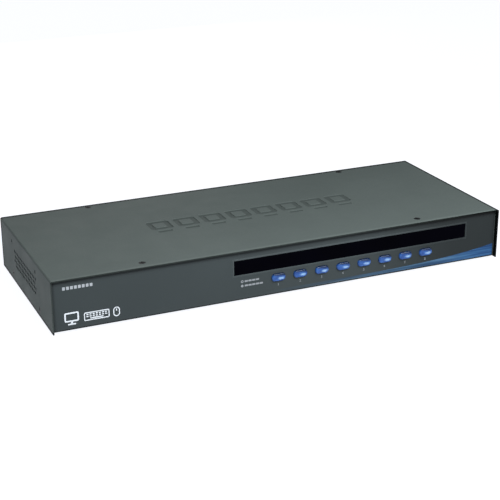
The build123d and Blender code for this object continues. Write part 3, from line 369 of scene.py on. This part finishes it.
def window_frame(s, sheet, across, up):
    """Adds a painted highlight: a paler line on the rim round the window, stronger to the left."""
    middle_x = (window_low.x + window_high.x) / 2
    middle_z = (window_low.z + window_high.z) / 2
    reach_x = (window_high.x - window_low.x) / 2
    reach_z = (window_high.z - window_low.z) / 2
    from_middle_x = s.maths("ABSOLUTE", s.maths("SUBTRACT", across, middle_x))
    from_middle_z = s.maths("ABSOLUTE", s.maths("SUBTRACT", up, middle_z))
    beyond_x = s.maths("SUBTRACT", from_middle_x, reach_x)
    beyond_z = s.maths("SUBTRACT", from_middle_z, reach_z)
    distance = s.maths("MAXIMUM", beyond_x, beyond_z)
    line = s.between(distance, 0.2 * MM, -0.2 * MM)
    strength = s.between(across, 60 * MM, 150 * MM, 0.42, 0.16)
    return s.mix(s.maths("MULTIPLY", line, strength), sheet, shade(PANEL_GREY, 1.8))


def printed_sheet():
    """Satin polycarbonate front sheet, printed dark grey from behind."""
    s = Surface("panel_print", Roughness=0.42, Specular_IOR_Level=0.08)
    cloud = s.noise(45 * MM, detail=4)
    dots = s.noise(0.5 * MM, detail=2)
    base = s.mottle(cloud, PANEL_GREY, 0.95, 1.05)
    fine = s.mottle(dots, PANEL_GREY, 0.88, 1.12)
    sheet = s.mix(PRINT_GRAIN, base, fine)
    across, up = s.axis("X"), s.axis("Z")
    # painted shade: the print darkens towards the right, and painted shadow darkens it under the cover's
    # lip and at its left and bottom edges
    right = s.between(across, 50 * MM, 165 * MM, smooth=True)
    lip = s.between(up, cover_high.z - LIP_BAND, cover_high.z - LIP_FULL, smooth=True)
    lip = s.maths("MULTIPLY", lip, s.between(across, 50 * MM, 190 * MM, 0.62, 0.98))
    left = s.beyond(across, panel_low.x + LEFT_BAND, -1, soft=0.8 * MM)
    left = s.maths("MULTIPLY", left, LEFT_STRENGTH)
    foot = s.beyond(up, panel_low.z + FOOT_BAND, -1, soft=0.3 * MM)
    foot = s.maths("MULTIPLY", foot, FOOT_STRENGTH)
    for mask, factor in ((right, 0.46), (lip, 0.2), (left, 0.3), (foot, 0.3)):
        sheet = s.mix(mask, sheet, shade(PANEL_GREY, factor))
    s.colour(window_frame(s, sheet, across, up))
    s.patchy_roughness(18 * MM, 0.36, 0.48, detail=4)
    s.bump(s.noise(0.4 * MM, detail=2), 0.012 * MM, 0.5)
    return s.material


def smoked_acrylic():
    """Nearly black gloss lens with faint hairline scratches."""
    s = Surface("smoked_lens", Roughness=0.09, Specular_IOR_Level=0.01)
    s.colour(s.mottle(s.noise(30 * MM), LENS_BLACK, 0.8, 1.3))
    hair = s.noise(0.6 * MM, detail=4, stretch=(0.05, 1, 1))
    s.roughness(s.between(hair, 0.45, 0.75, 0.07, 0.16))
    s.bump(s.noise(40 * MM, detail=1), 0.05 * MM, 0.15)
    return s.material


# colours of the cap: deep and clear blue, painted shade for its top, and a painted highlight
CAP_DEEP = (0.009, 0.044, 0.185)
CAP_BLUE = (0.021, 0.086, 0.29)
CAP_SHADE = (0.003, 0.014, 0.05)
CAP_HIGHLIGHT = (0.19, 0.32, 0.52)
HIGHLIGHT_RIGHT = 1.9 * MM        # the painted highlight's middle, from the cap's middle
HIGHLIGHT_DOWN = 0.7 * MM
HIGHLIGHT_WIDE = 3.3 * MM         # half of the painted highlight's width and height
HIGHLIGHT_TALL = 1.3 * MM


def button_blue():
    """Translucent blue cap with a painted highlight low on its right and painted shade along its top; the
    rest stays deep.
    """
    s = Surface(
        "button_blue", Roughness=0.22, Specular_IOR_Level=0.3,
        Subsurface_Weight=0.15, Subsurface_Scale=1.0 * MM, Subsurface_Radius=(0.2, 0.5, 1.0),
    )
    first_low, first_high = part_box(button_names[0])
    last_low, last_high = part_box(button_names[-1])
    first_x = (first_low.x + first_high.x) / 2
    pitch = ((last_low.x + last_high.x) / 2 - first_x) / (len(button_names) - 1)
    row = s.maths("DIVIDE", s.maths("SUBTRACT", s.axis("X"), first_x - pitch / 2), pitch)
    across = s.maths("MULTIPLY", s.maths("SUBTRACT", s.maths("FRACT", row), 0.5), pitch)
    up = s.maths("SUBTRACT", s.axis("Z"), (first_low.z + first_high.z) / 2)
    # painted highlight: an ellipse of paler blue, low on the right
    wide = s.maths("DIVIDE", s.maths("SUBTRACT", across, HIGHLIGHT_RIGHT), HIGHLIGHT_WIDE)
    tall = s.maths("DIVIDE", s.maths("SUBTRACT", up, -HIGHLIGHT_DOWN), HIGHLIGHT_TALL)
    squares = s.maths("ADD", s.maths("MULTIPLY", wide, wide), s.maths("MULTIPLY", tall, tall))
    distance = s.maths("SQRT", squares)
    ripple = s.maths("MULTIPLY", s.maths("SUBTRACT", s.noise(1.6 * MM, detail=2), 0.5), 0.9)
    painted_highlight = s.between(s.maths("ADD", distance, ripple), 1.15, 0.25, smooth=True)
    body = s.ramp(s.noise(4 * MM), (0.35, CAP_DEEP), (0.7, CAP_BLUE))
    # painted shade: the top of the cap is darker, a little lower down on its right
    tilted = s.maths("ADD", up, s.maths("MULTIPLY", across, 0.12))
    shaded = s.between(tilted, 0.9 * MM, 2.6 * MM, smooth=True)
    body = s.mix(shaded, body, CAP_SHADE)
    s.colour(s.mix(painted_highlight, body, CAP_HIGHLIGHT))
    s.patchy_roughness(2 * MM, 0.18, 0.28)
    s.bump(s.noise(0.5 * MM, detail=2), 0.004 * MM, 0.4)
    return s.material


TRACKS_PER_M = 180


def circuit_board():
    """Green solder mask over fine copper tracks, with paler glass cloth showing through."""
    mask = (0.012, 0.12, 0.05)
    track = (0.03, 0.2, 0.08)
    s = Surface("board_green", Roughness=0.3)
    brick = s.add("ShaderNodeTexBrick", offset=0.37, offset_frequency=3, squash=0.6, squash_frequency=2)
    s.feed(brick.inputs["Vector"], s.scaled((TRACKS_PER_M,) * 3))
    brick.inputs["Scale"].default_value = 1.0
    brick.inputs["Mortar Size"].default_value = 0.05
    brick.inputs["Mortar Smooth"].default_value = 0.1
    weave = s.noise(0.8 * MM, detail=2)
    cloth = s.mottle(weave, mask, 0.85, 1.15)
    s.colour(s.mix(brick.outputs["Fac"], cloth, track))
    s.patchy_roughness(10 * MM, 0.22, 0.38)
    s.bump(brick.outputs["Fac"], 0.035 * MM, 0.8)
    return s.material


WIRE_PITCH = 1.27 * MM


def ribbed_ribbon():
    """Grey flat cable: a wave across its width for the wires, with painted shade in the grooves between
    them, and one red edge wire.
    """
    grey = (0.38, 0.38, 0.38)
    low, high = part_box("ribbon_cable")
    s = Surface("ribbon_grey", Roughness=0.5)
    across = s.axis("X")
    wires = s.maths("SINE", s.maths("MULTIPLY", across, 2 * math.pi / WIRE_PITCH))
    ribs = s.between(wires, -1, 1)
    red = s.between(across, low.x + 1.0 * MM, low.x + 1.3 * MM, 1.0, 0.0)
    # painted shade: the grey is darker in the grooves between the wires
    cable = s.ramp(ribs, (0.0, shade(grey, 0.6)), (0.5, grey))
    s.colour(s.mix(red, cable, (0.4, 0.03, 0.02)))
    s.patchy_roughness(4 * MM, 0.42, 0.58)
    s.bump(ribs, 0.25 * MM, 0.8)
    return s.material


def rubber(name, colour):
    """Matt rubber with a little dust in its grain."""
    s = Surface(name, Roughness=0.8)
    dust = s.noise(1.2 * MM, detail=6, roughness=0.7)
    s.colour(s.ramp(dust, (0.35, colour), (0.75, shade(colour, 2.2))))
    s.patchy_roughness(3 * MM, 0.72, 0.9)
    s.bump(s.noise(0.3 * MM, detail=3), 0.02 * MM, 0.8)
    return s.material


def tinted_lamp(name, colour):
    """Clear tinted LED body."""
    s = Surface(name, Roughness=0.08, IOR=1.5, Transmission_Weight=0.4)
    s.colour(s.mottle(s.noise(2 * MM), colour, 0.8, 1.2))
    s.patchy_roughness(1.5 * MM, 0.05, 0.14)
    s.bump(s.noise(1.0 * MM), 0.01 * MM, 0.3)
    return s.material


materials = {
    # the cover's and tray's tints and the cover's near-black mask are painted shade, with one painted
    # highlight along the cover's front
    "cover_paint": powder_coat(
        "cover_paint", COVER_GREY, 0.5, bare_and_shade=cover_bare,
        tints=((cover_recess, 0.72), (cover_front_rub, 1.3), (cover_rim, 0.26)),
    ),
    "tray_paint": powder_coat("tray_paint", TRAY_GREY, 0.52, tints=((tray_fold, 0.3),)),
    "panel_print": printed_sheet(),
    "smoked_lens": smoked_acrylic(),
    "black_screws": plated(
        "black_screws", (0.012, 0.013, 0.014), 0.42, streak=(6, 6, 1), metallic=0.0, specular=0.1,
    ),
    "button_blue": button_blue(),
    "plunger_white": moulded("plunger_white", (0.7, 0.7, 0.66), 0.4),
    "nickel_shell": plated("nickel_shell", (0.63, 0.61, 0.57), 0.28),
    "video_insert": moulded("video_insert", (0.015, 0.05, 0.24), 0.42),
    "jack_post_steel": plated("jack_post_steel", (0.6, 0.6, 0.58), 0.3, streak=(14, 1, 14)),
    "zinc_steel": plated("zinc_steel", (0.58, 0.6, 0.62), 0.35),
    "contact_brass": plated("contact_brass", (0.72, 0.55, 0.28), 0.3),
    "socket_black": moulded("socket_black", (0.014, 0.014, 0.015), 0.42),
    "keyboard_purple": moulded("keyboard_purple", (0.16, 0.06, 0.3), 0.4),
    "mouse_green": moulded("mouse_green", (0.04, 0.32, 0.14), 0.4),
    "tongue_white": moulded("tongue_white", (0.72, 0.72, 0.68), 0.35),
    "foot_rubber": rubber("foot_rubber", (0.018, 0.018, 0.018)),
    "board_green": circuit_board(),
    "led_green": tinted_lamp("led_green", (0.15, 0.5, 0.15)),
    "led_red": tinted_lamp("led_red", (0.5, 0.04, 0.03)),
    "ribbon_grey": ribbed_ribbon(),
    "chip_black": moulded("chip_black", (0.018, 0.018, 0.018), 0.5, grain=0.2 * MM, vary=0.15),
    "capacitor_sleeve": moulded("capacitor_sleeve", (0.012, 0.02, 0.06), 0.22),
    "sink_aluminium": plated("sink_aluminium", (0.05, 0.05, 0.052), 0.4, streak=(14, 14, 1)),
    "crystal_can": plated("crystal_can", (0.65, 0.65, 0.62), 0.22),
    "buzzer_case": moulded("buzzer_case", (0.016, 0.016, 0.016), 0.35),
}

for part in frame["record"]["subparts"]:
    mesh = nodes[part["node"]].data
    mesh.materials.clear()
    mesh.materials.append(materials[part["material_slot"]])

# ---------------------------------------------------------------- printed marks

INK = 0.03 * MM               # thickness of the ink
RIM_PROUD = 0.25 * MM         # the window's rim stands this far in front of the sheet
FONT_HEIGHT = 0.7             # height of the font's numbers, over its size
WELD = 1e-7                   # corners closer than this are one
face_y = panel_low.y + RIM_PROUD


def ink(name, colour, roughness=0.45):
    """Screen-printed ink: slightly uneven cover and a faint ridge texture."""
    s = Surface(name, Roughness=roughness)
    s.colour(s.ramp(s.noise(0.6 * MM, detail=4), (0.3, shade(colour, 0.85)), (0.65, colour)))
    s.patchy_roughness(1.5 * MM, roughness - 0.06, roughness + 0.08)
    s.bump(s.noise(0.3 * MM), 0.006 * MM, 0.5)
    return s.material


white_ink = ink("white_ink", INK_WHITE)
pale_ink = ink("pale_ink", INK_PALE)
grey_ink = ink("grey_ink", INK_GREY)


def rounded_outline(x, z, width, height, radius, steps=5):
    """Points of a rounded rectangle, as (x, z), going round once."""
    points = []
    for quarter in range(4):
        across = 1 if quarter in (0, 3) else -1
        up = 1 if quarter in (0, 1) else -1
        for step in range(steps + 1):
            turn = math.radians(90 * (quarter + step / steps))
            points.append((
                x + across * (width / 2 - radius) + radius * math.cos(turn),
                z + up * (height / 2 - radius) + radius * math.sin(turn),
            ))
    return points


def add_solid(bm, outer, inner=None):
    """A thin closed slab of ink on the panel, with a hole where `inner` is given."""
    def corners(points, y):
        """The slab's corners at a depth of y."""
        return [bm.verts.new((px, y, pz)) for px, pz in points]

    def join(first, second):
        """A band of faces between two rings of corners."""
        for n in range(len(first)):
            after = (n + 1) % len(first)
            bm.faces.new((first[n], first[after], second[after], second[n]))

    front, back = corners(outer, face_y - INK), corners(outer, face_y)
    join(front, back)
    if inner:
        front_hole, back_hole = corners(inner, face_y - INK), corners(inner, face_y)
        join(front_hole, back_hole)
        join(front, front_hole)
        join(back, back_hole)
    else:
        bm.faces.new(front)
        bm.faces.new(back)


def add_outline(bm, x, z, width, height, line, radius, inner_radius):
    """A line of ink round a rounded rectangle, inside its edge."""
    outer = rounded_outline(x, z, width, height, radius)
    inner = rounded_outline(x, z, width - 2 * line, height - 2 * line, inner_radius)
    add_solid(bm, outer, inner)


def finish_piece(bm, name, material, body="case"):
    """Makes one object of a bmesh and fixes it to a body of the model."""
    bmesh.ops.recalc_face_normals(bm, faces=bm.faces)
    mesh = bpy.data.meshes.new(name)
    bm.to_mesh(mesh)
    bm.free()
    mesh.materials.append(material)
    piece = bpy.data.objects.new(name, mesh)
    bpy.context.scene.collection.objects.link(piece)
    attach(piece, body)


def numeral(text, centre, height, material, facing_rear=False):
    """A printed number, centred on a point of the front or rear face."""
    curve = bpy.data.curves.new("numeral", "FONT")
    curve.body = text
    curve.size = height / FONT_HEIGHT
    curve.align_x = "CENTER"
    curve.align_y = "CENTER"
    curve.extrude = INK / 2
    holder = bpy.data.objects.new("numeral", curve)
    bpy.context.scene.collection.objects.link(holder)
    bpy.context.view_layer.update()
    graph = bpy.context.evaluated_depsgraph_get()
    flat = bpy.data.meshes.new_from_object(holder.evaluated_get(graph))
    bpy.data.objects.remove(holder)
    bm = bmesh.new()
    bm.from_mesh(flat)
    bpy.data.meshes.remove(flat)
    bmesh.ops.remove_doubles(bm, verts=bm.verts, dist=WELD)
    stand_up = Matrix.Rotation(math.pi / 2, 4, "X")
    turn = Matrix.Rotation(math.pi if facing_rear else 0, 4, "Z")
    bmesh.ops.transform(bm, matrix=Matrix.Translation(centre) @ turn @ stand_up, verts=bm.verts)
    side = "rear" if facing_rear else "front"
    finish_piece(bm, f"{side}_number_{text}", material)


# numbers under the buttons
FRONT_NUMBER_HEIGHT = 2.1 * MM
FRONT_NUMBER_DROP = 6.6 * MM          # from a button's middle to its number's middle
for number, name in enumerate(button_names, start=1):
    low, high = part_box(name)
    x = (low.x + high.x) / 2
    z = (low.z + high.z) / 2 - FRONT_NUMBER_DROP
    place = Vector((x, face_y - INK / 2, z))
    numeral(str(number), place, FRONT_NUMBER_HEIGHT, grey_ink)

# monitor, keyboard and mouse pictograms, low on the left: sizes are width, height
MONITOR_IN = 14.0 * MM                # the monitor's middle, from the panel's left end
MONITOR_UP = 10.2 * MM                # and from the cover's lower edge
SCREEN_UP = 1.2 * MM                  # parts of the monitor, from its middle
STAND_DOWN = 3.6 * MM
STAND_FOOT_DOWN = 4.8 * MM
KEYBOARD_RIGHT = 20.0 * MM            # the keyboard's middle, from the monitor's
KEYBOARD_DOWN = 0.6 * MM
MOUSE_RIGHT = 16.0 * MM               # the mouse's middle, from the keyboard's
WHEEL_UP = 1.5 * MM
MONITOR_SIZE = (11.5 * MM, 7.8 * MM)
MONITOR_LINE = 1.2 * MM
STAND_SIZE = (1.8 * MM, 1.6 * MM)
STAND_FOOT_SIZE = (6.4 * MM, 1.1 * MM)
KEYBOARD_SIZE = (20.5 * MM, 7.0 * MM)
MOUSE_SIZE = (5.4 * MM, 8.0 * MM)
WHEEL_SIZE = (0.7 * MM, 2.0 * MM)
THIN_LINE = 0.8 * MM                  # line of the keyboard's and the mouse's outlines
KEY_WIDTH = 1.6 * MM
SPACE_BAR_WIDTH = 10.5 * MM
KEY_HEIGHT = 1.0 * MM
KEY_PITCH = 2.5 * MM
KEY_ROW_PITCH = 1.7 * MM
# each row's place above the middle, how many keys it has, and their width
KEY_ROWS = ((1, 7, KEY_WIDTH), (0, 7, KEY_WIDTH), (-1, 1, SPACE_BAR_WIDTH))

mark_x = panel_low.x + MONITOR_IN
mark_z = cover_low.z + MONITOR_UP
screen_z = mark_z + SCREEN_UP
bm = bmesh.new()
add_outline(bm, mark_x, screen_z, *MONITOR_SIZE, MONITOR_LINE, radius=1.2 * MM, inner_radius=0.5 * MM)
add_solid(bm, rounded_outline(mark_x, mark_z - STAND_DOWN, *STAND_SIZE, radius=0.3 * MM))
add_solid(bm, rounded_outline(mark_x, mark_z - STAND_FOOT_DOWN, *STAND_FOOT_SIZE, radius=0.5 * MM))
finish_piece(bm, "monitor_mark", white_ink)

keys_x = mark_x + KEYBOARD_RIGHT
keys_z = mark_z - KEYBOARD_DOWN
bm = bmesh.new()
add_outline(bm, keys_x, keys_z, *KEYBOARD_SIZE, THIN_LINE, radius=1.2 * MM, inner_radius=0.6 * MM)
for row, count, width in KEY_ROWS:
    for n in range(count):
        key_x = keys_x + (n - (count - 1) / 2) * KEY_PITCH
        key_z = keys_z + row * KEY_ROW_PITCH
        add_solid(bm, rounded_outline(key_x, key_z, width, KEY_HEIGHT, radius=0.25 * MM))
finish_piece(bm, "keyboard_mark", white_ink)

mouse_x = keys_x + MOUSE_RIGHT
bm = bmesh.new()
add_outline(bm, mouse_x, keys_z, *MOUSE_SIZE, THIN_LINE, radius=2.6 * MM, inner_radius=1.8 * MM)
add_solid(bm, rounded_outline(mouse_x, keys_z + WHEEL_UP, *WHEEL_SIZE, radius=0.3 * MM))
finish_piece(bm, "mouse_mark", white_ink)

# row of eight small squares, high on the left: one for each port
TALLY_IN = 9.0 * MM                   # the first square's middle, from the panel's left end
TALLY_UP = 35.6 * MM                  # and from the cover's lower edge
TALLY_PITCH = 3.1 * MM
TALLY_SIZE = (2.2 * MM, 2.6 * MM)
tally_x = panel_low.x + TALLY_IN
tally_z = cover_low.z + TALLY_UP
bm = bmesh.new()
for n in range(len(button_names)):
    add_solid(bm, rounded_outline(tally_x + n * TALLY_PITCH, tally_z, *TALLY_SIZE, radius=0.35 * MM))
finish_piece(bm, "port_tally", pale_ink)

# two-line key to the lamps, left of the buttons: a ring or a dot, then dashes
LEGEND_LINES = ((16.4 * MM, 4), (12.6 * MM, 5))     # height above the cover's lower edge, dashes
LEGEND_IN = 8.6 * MM                  # the ring's middle, from the window's left end
DOT_SIZE = (2.3 * MM, 2.3 * MM)
DOT_RADIUS = 1.14 * MM
RING_LINE = 0.55 * MM
DASH_START = 3.6 * MM                 # from the ring's middle to the first dash's middle
DASH_PITCH = 3.3 * MM
DASH_SIZE = (2.9 * MM, 1.5 * MM)
legend_x = window_low.x + LEGEND_IN
for line, (height, dashes) in enumerate(LEGEND_LINES, start=1):
    z = cover_low.z + height
    bm = bmesh.new()
    if line == 1:
        add_outline(bm, legend_x, z, *DOT_SIZE, RING_LINE, DOT_RADIUS, inner_radius=0.59 * MM)
    else:
        add_solid(bm, rounded_outline(legend_x, z, *DOT_SIZE, DOT_RADIUS))
    for n in range(dashes):
        dash_x = legend_x + DASH_START + n * DASH_PITCH
        add_solid(bm, rounded_outline(dash_x, z, *DASH_SIZE, radius=0.4 * MM))
    finish_piece(bm, f"lamp_key_{line}", grey_ink)

# blue wave, rising to the right along the panel's bottom edge
WAVE_START = 20 * MM          # the wave starts to rise this far left of the panel's middle
WAVE_BASE = 4.2 * MM          # height of its upper edge there, above the cover's lower edge
WAVE_RISE = 8.6 * MM          # how much higher the upper edge would be at the cover's right side
WAVE_POWER = 4.5              # how late the rise comes
WAVE_STEPS = 80
WAVE_DEEP = ((0.009, 0.032, 0.098), (0.016, 0.055, 0.143), (0.031, 0.1, 0.214))
WAVE_PALE = ((0.018, 0.045, 0.09), (0.037, 0.085, 0.15), (0.075, 0.145, 0.23))
STREAK_STOPS = (0.38, 0.5, 0.62)
WAVE_LEFT = -90 * MM          # left end, where its ink is the panel's grey
WAVE_END_GAP = 0.8 * MM       # from its right end to the panel's
WAVE_FOOT_GAP = 1.0 * MM      # from its lower edge to the panel's
wave_right = panel_high.x - WAVE_END_GAP
wave_bottom = panel_low.z + WAVE_FOOT_GAP


def wave_top(x):
    """Height of the wave's upper edge at x."""
    along = max(0.0, (x + WAVE_START) / (cover_high.x + WAVE_START))
    return cover_low.z + WAVE_BASE + WAVE_RISE * along ** WAVE_POWER


def wave_ink():
    """Blue ink in streaks that run with the wave, fading to the panel's grey on the left."""
    s = Surface("wave_ink", Roughness=0.4, Specular_IOR_Level=0.08)
    streaks = s.noise(5 * MM, detail=5, roughness=0.6, stretch=(0.06, 1, 1.6))
    deep = s.ramp(streaks, *zip(STREAK_STOPS, WAVE_DEEP))
    pale = s.ramp(streaks, *zip(STREAK_STOPS, WAVE_PALE))
    along = s.axis("X")
    blue = s.mix(s.between(along, 115 * MM, 190 * MM, smooth=True), pale, deep)
    fade = s.between(along, -30 * MM, 135 * MM, smooth=True)
    s.colour(s.mix(fade, PANEL_GREY, blue))
    s.patchy_roughness(12 * MM, 0.34, 0.46)
    s.bump(s.noise(0.4 * MM), 0.008 * MM, 0.5)
    return s.material


tops = []
bottoms = []
for step in range(WAVE_STEPS + 1):
    x = WAVE_LEFT + (wave_right - WAVE_LEFT) * step / WAVE_STEPS
    tops.append((x, wave_top(x)))
    bottoms.append((x, wave_bottom))
bm = bmesh.new()
rows = [
    [[bm.verts.new((px, y, pz)) for px, pz in line] for line in (bottoms, tops)]
    for y in (face_y - INK, face_y)
]
(front_low, front_top), (back_low, back_top) = rows
for n in range(WAVE_STEPS):
    bm.faces.new((front_low[n], front_low[n + 1], front_top[n + 1], front_top[n]))
    bm.faces.new((back_low[n], back_low[n + 1], back_top[n + 1], back_top[n]))
    bm.faces.new((front_top[n], front_top[n + 1], back_top[n + 1], back_top[n]))
    bm.faces.new((front_low[n], front_low[n + 1], back_low[n + 1], back_low[n]))
for n in (0, WAVE_STEPS):
    bm.faces.new((front_low[n], front_top[n], back_top[n], back_low[n]))
finish_piece(bm, "wave_print", wave_ink())

# numbers above the sockets at the rear
REAR_NUMBER_HEIGHT = 3.6 * MM
REAR_NUMBER_RISE = 10.5 * MM          # from a socket's middle to its number's middle
rear_y = tray_high.y
for number in range(1, len(button_names) + 1):
    x, _, z = mounts[f"pc_port_{number}_jack_posts"]["pos_m"]
    place = Vector((x, rear_y + INK / 2, z + REAR_NUMBER_RISE))
    numeral(str(number), place, REAR_NUMBER_HEIGHT, white_ink, facing_rear=True)

# ---------------------------------------------------------------- floor, light and camera

FLOOR_SIZE = 60.0
FLOOR_GLOW = (0.985, 1.0, 1.05, 1)    # the floor gives light of its own, so it looks white
FLOOR_GLOW_STRENGTH = 0.95
PAPER_DARK = (0.15, 0.15, 0.15)
PAPER_PALE = (0.17, 0.17, 0.17)
bpy.ops.mesh.primitive_plane_add(size=FLOOR_SIZE, location=(0, 0, 0))
floor = bpy.context.object
floor.name = "floor"
paper = Surface(
    "paper", Roughness=0.85, Specular_IOR_Level=0.1,
    Emission_Color=FLOOR_GLOW, Emission_Strength=FLOOR_GLOW_STRENGTH,
)
paper.colour(paper.ramp(paper.noise(0.4), (NOISE_LOW, PAPER_DARK), (NOISE_HIGH, PAPER_PALE)))
paper.bump(paper.noise(2 * MM), 0.02 * MM, 0.3)
floor.data.materials.append(paper.material)

SKY_TINT = (0.97, 0.99, 1.0)
SKY_STOPS = ((0.0, 1.0), (0.045, 0.8), (0.14, 0.045), (0.8, 0.24))     # sine of the height, brightness

scene = bpy.context.scene
scene.view_settings.view_transform = "Standard"
world = bpy.data.worlds.new("studio")
scene.world = world
world.use_nodes = True
sky = world.node_tree.nodes["Background"]
height = world.node_tree.nodes.new("ShaderNodeSeparateXYZ")
direction = world.node_tree.nodes.new("ShaderNodeTexCoord")
fade = world.node_tree.nodes.new("ShaderNodeValToRGB")
while len(fade.color_ramp.elements) < len(SKY_STOPS):
    fade.color_ramp.elements.new(0.5)
for stop, (position, brightness) in zip(fade.color_ramp.elements, SKY_STOPS):
    stop.position = position
    stop.color = (*shade(SKY_TINT, brightness), 1)
world.node_tree.links.new(direction.outputs["Generated"], height.inputs["Vector"])
world.node_tree.links.new(height.outputs["Z"], fade.inputs["Fac"])
world.node_tree.links.new(fade.outputs["Color"], sky.inputs["Color"])


def soft_light(name, place, target, size, power):
    """A rectangular soft box at a place, aimed at a target, and not seen itself."""
    data = bpy.data.lights.new(name, "AREA")
    data.shape = "RECTANGLE"
    data.size, data.size_y = size
    data.energy = power
    lamp = bpy.data.objects.new(name, data)
    scene.collection.objects.link(lamp)
    lamp.location = place
    lamp.visible_camera = False
    lamp.rotation_euler = (Vector(target) - Vector(place)).to_track_quat("-Z", "Y").to_euler()


SOFT_BOX = (0.8, 0.2)        # each light's width and height
soft_light("key_light", place=(0.1, -0.42, 0.47), target=(0.05, -0.06, 0.02), size=SOFT_BOX, power=7.0)
soft_light("rear_light", place=(0.0, 1.0, 0.12), target=(0, 0.08, 0.03), size=SOFT_BOX, power=2.0)

# the camera, as fitted to the photograph: its aim is the middle of the cover's lower front edge
CAMERA_AZIMUTH = math.radians(-23.4961)
CAMERA_ELEVATION = math.radians(21.0193)
CAMERA_ROLL = math.radians(-0.334)
CAMERA_DISTANCE = 1.0496914
CAMERA_SLIDE = (0.0331095, -0.035720)    # how far the aim lies right of and above the picture's middle
LENS = 91.99                             # millimetres, like the sensor's width
SENSOR_WIDTH = 36

aim = Vector((0, cover_low.y, cover_low.z))
back = Vector((
    math.sin(CAMERA_AZIMUTH) * math.cos(CAMERA_ELEVATION),
    -math.cos(CAMERA_AZIMUTH) * math.cos(CAMERA_ELEVATION),
    math.sin(CAMERA_ELEVATION),
))
level_right = Vector((0, 0, 1)).cross(back).normalized()
level_up = back.cross(level_right)
right = level_right * math.cos(CAMERA_ROLL) + level_up * math.sin(CAMERA_ROLL)
up = level_up * math.cos(CAMERA_ROLL) - level_right * math.sin(CAMERA_ROLL)
camera_data = bpy.data.cameras.new("camera")
camera_data.lens = LENS
camera_data.sensor_width = SENSOR_WIDTH
camera = bpy.data.objects.new("camera", camera_data)
scene.collection.objects.link(camera)
camera.rotation_mode = "QUATERNION"
camera.rotation_quaternion = Matrix((right, up, back)).transposed().to_quaternion()
camera.location = aim + back * CAMERA_DISTANCE - right * CAMERA_SLIDE[0] - up * CAMERA_SLIDE[1]
scene.camera = camera
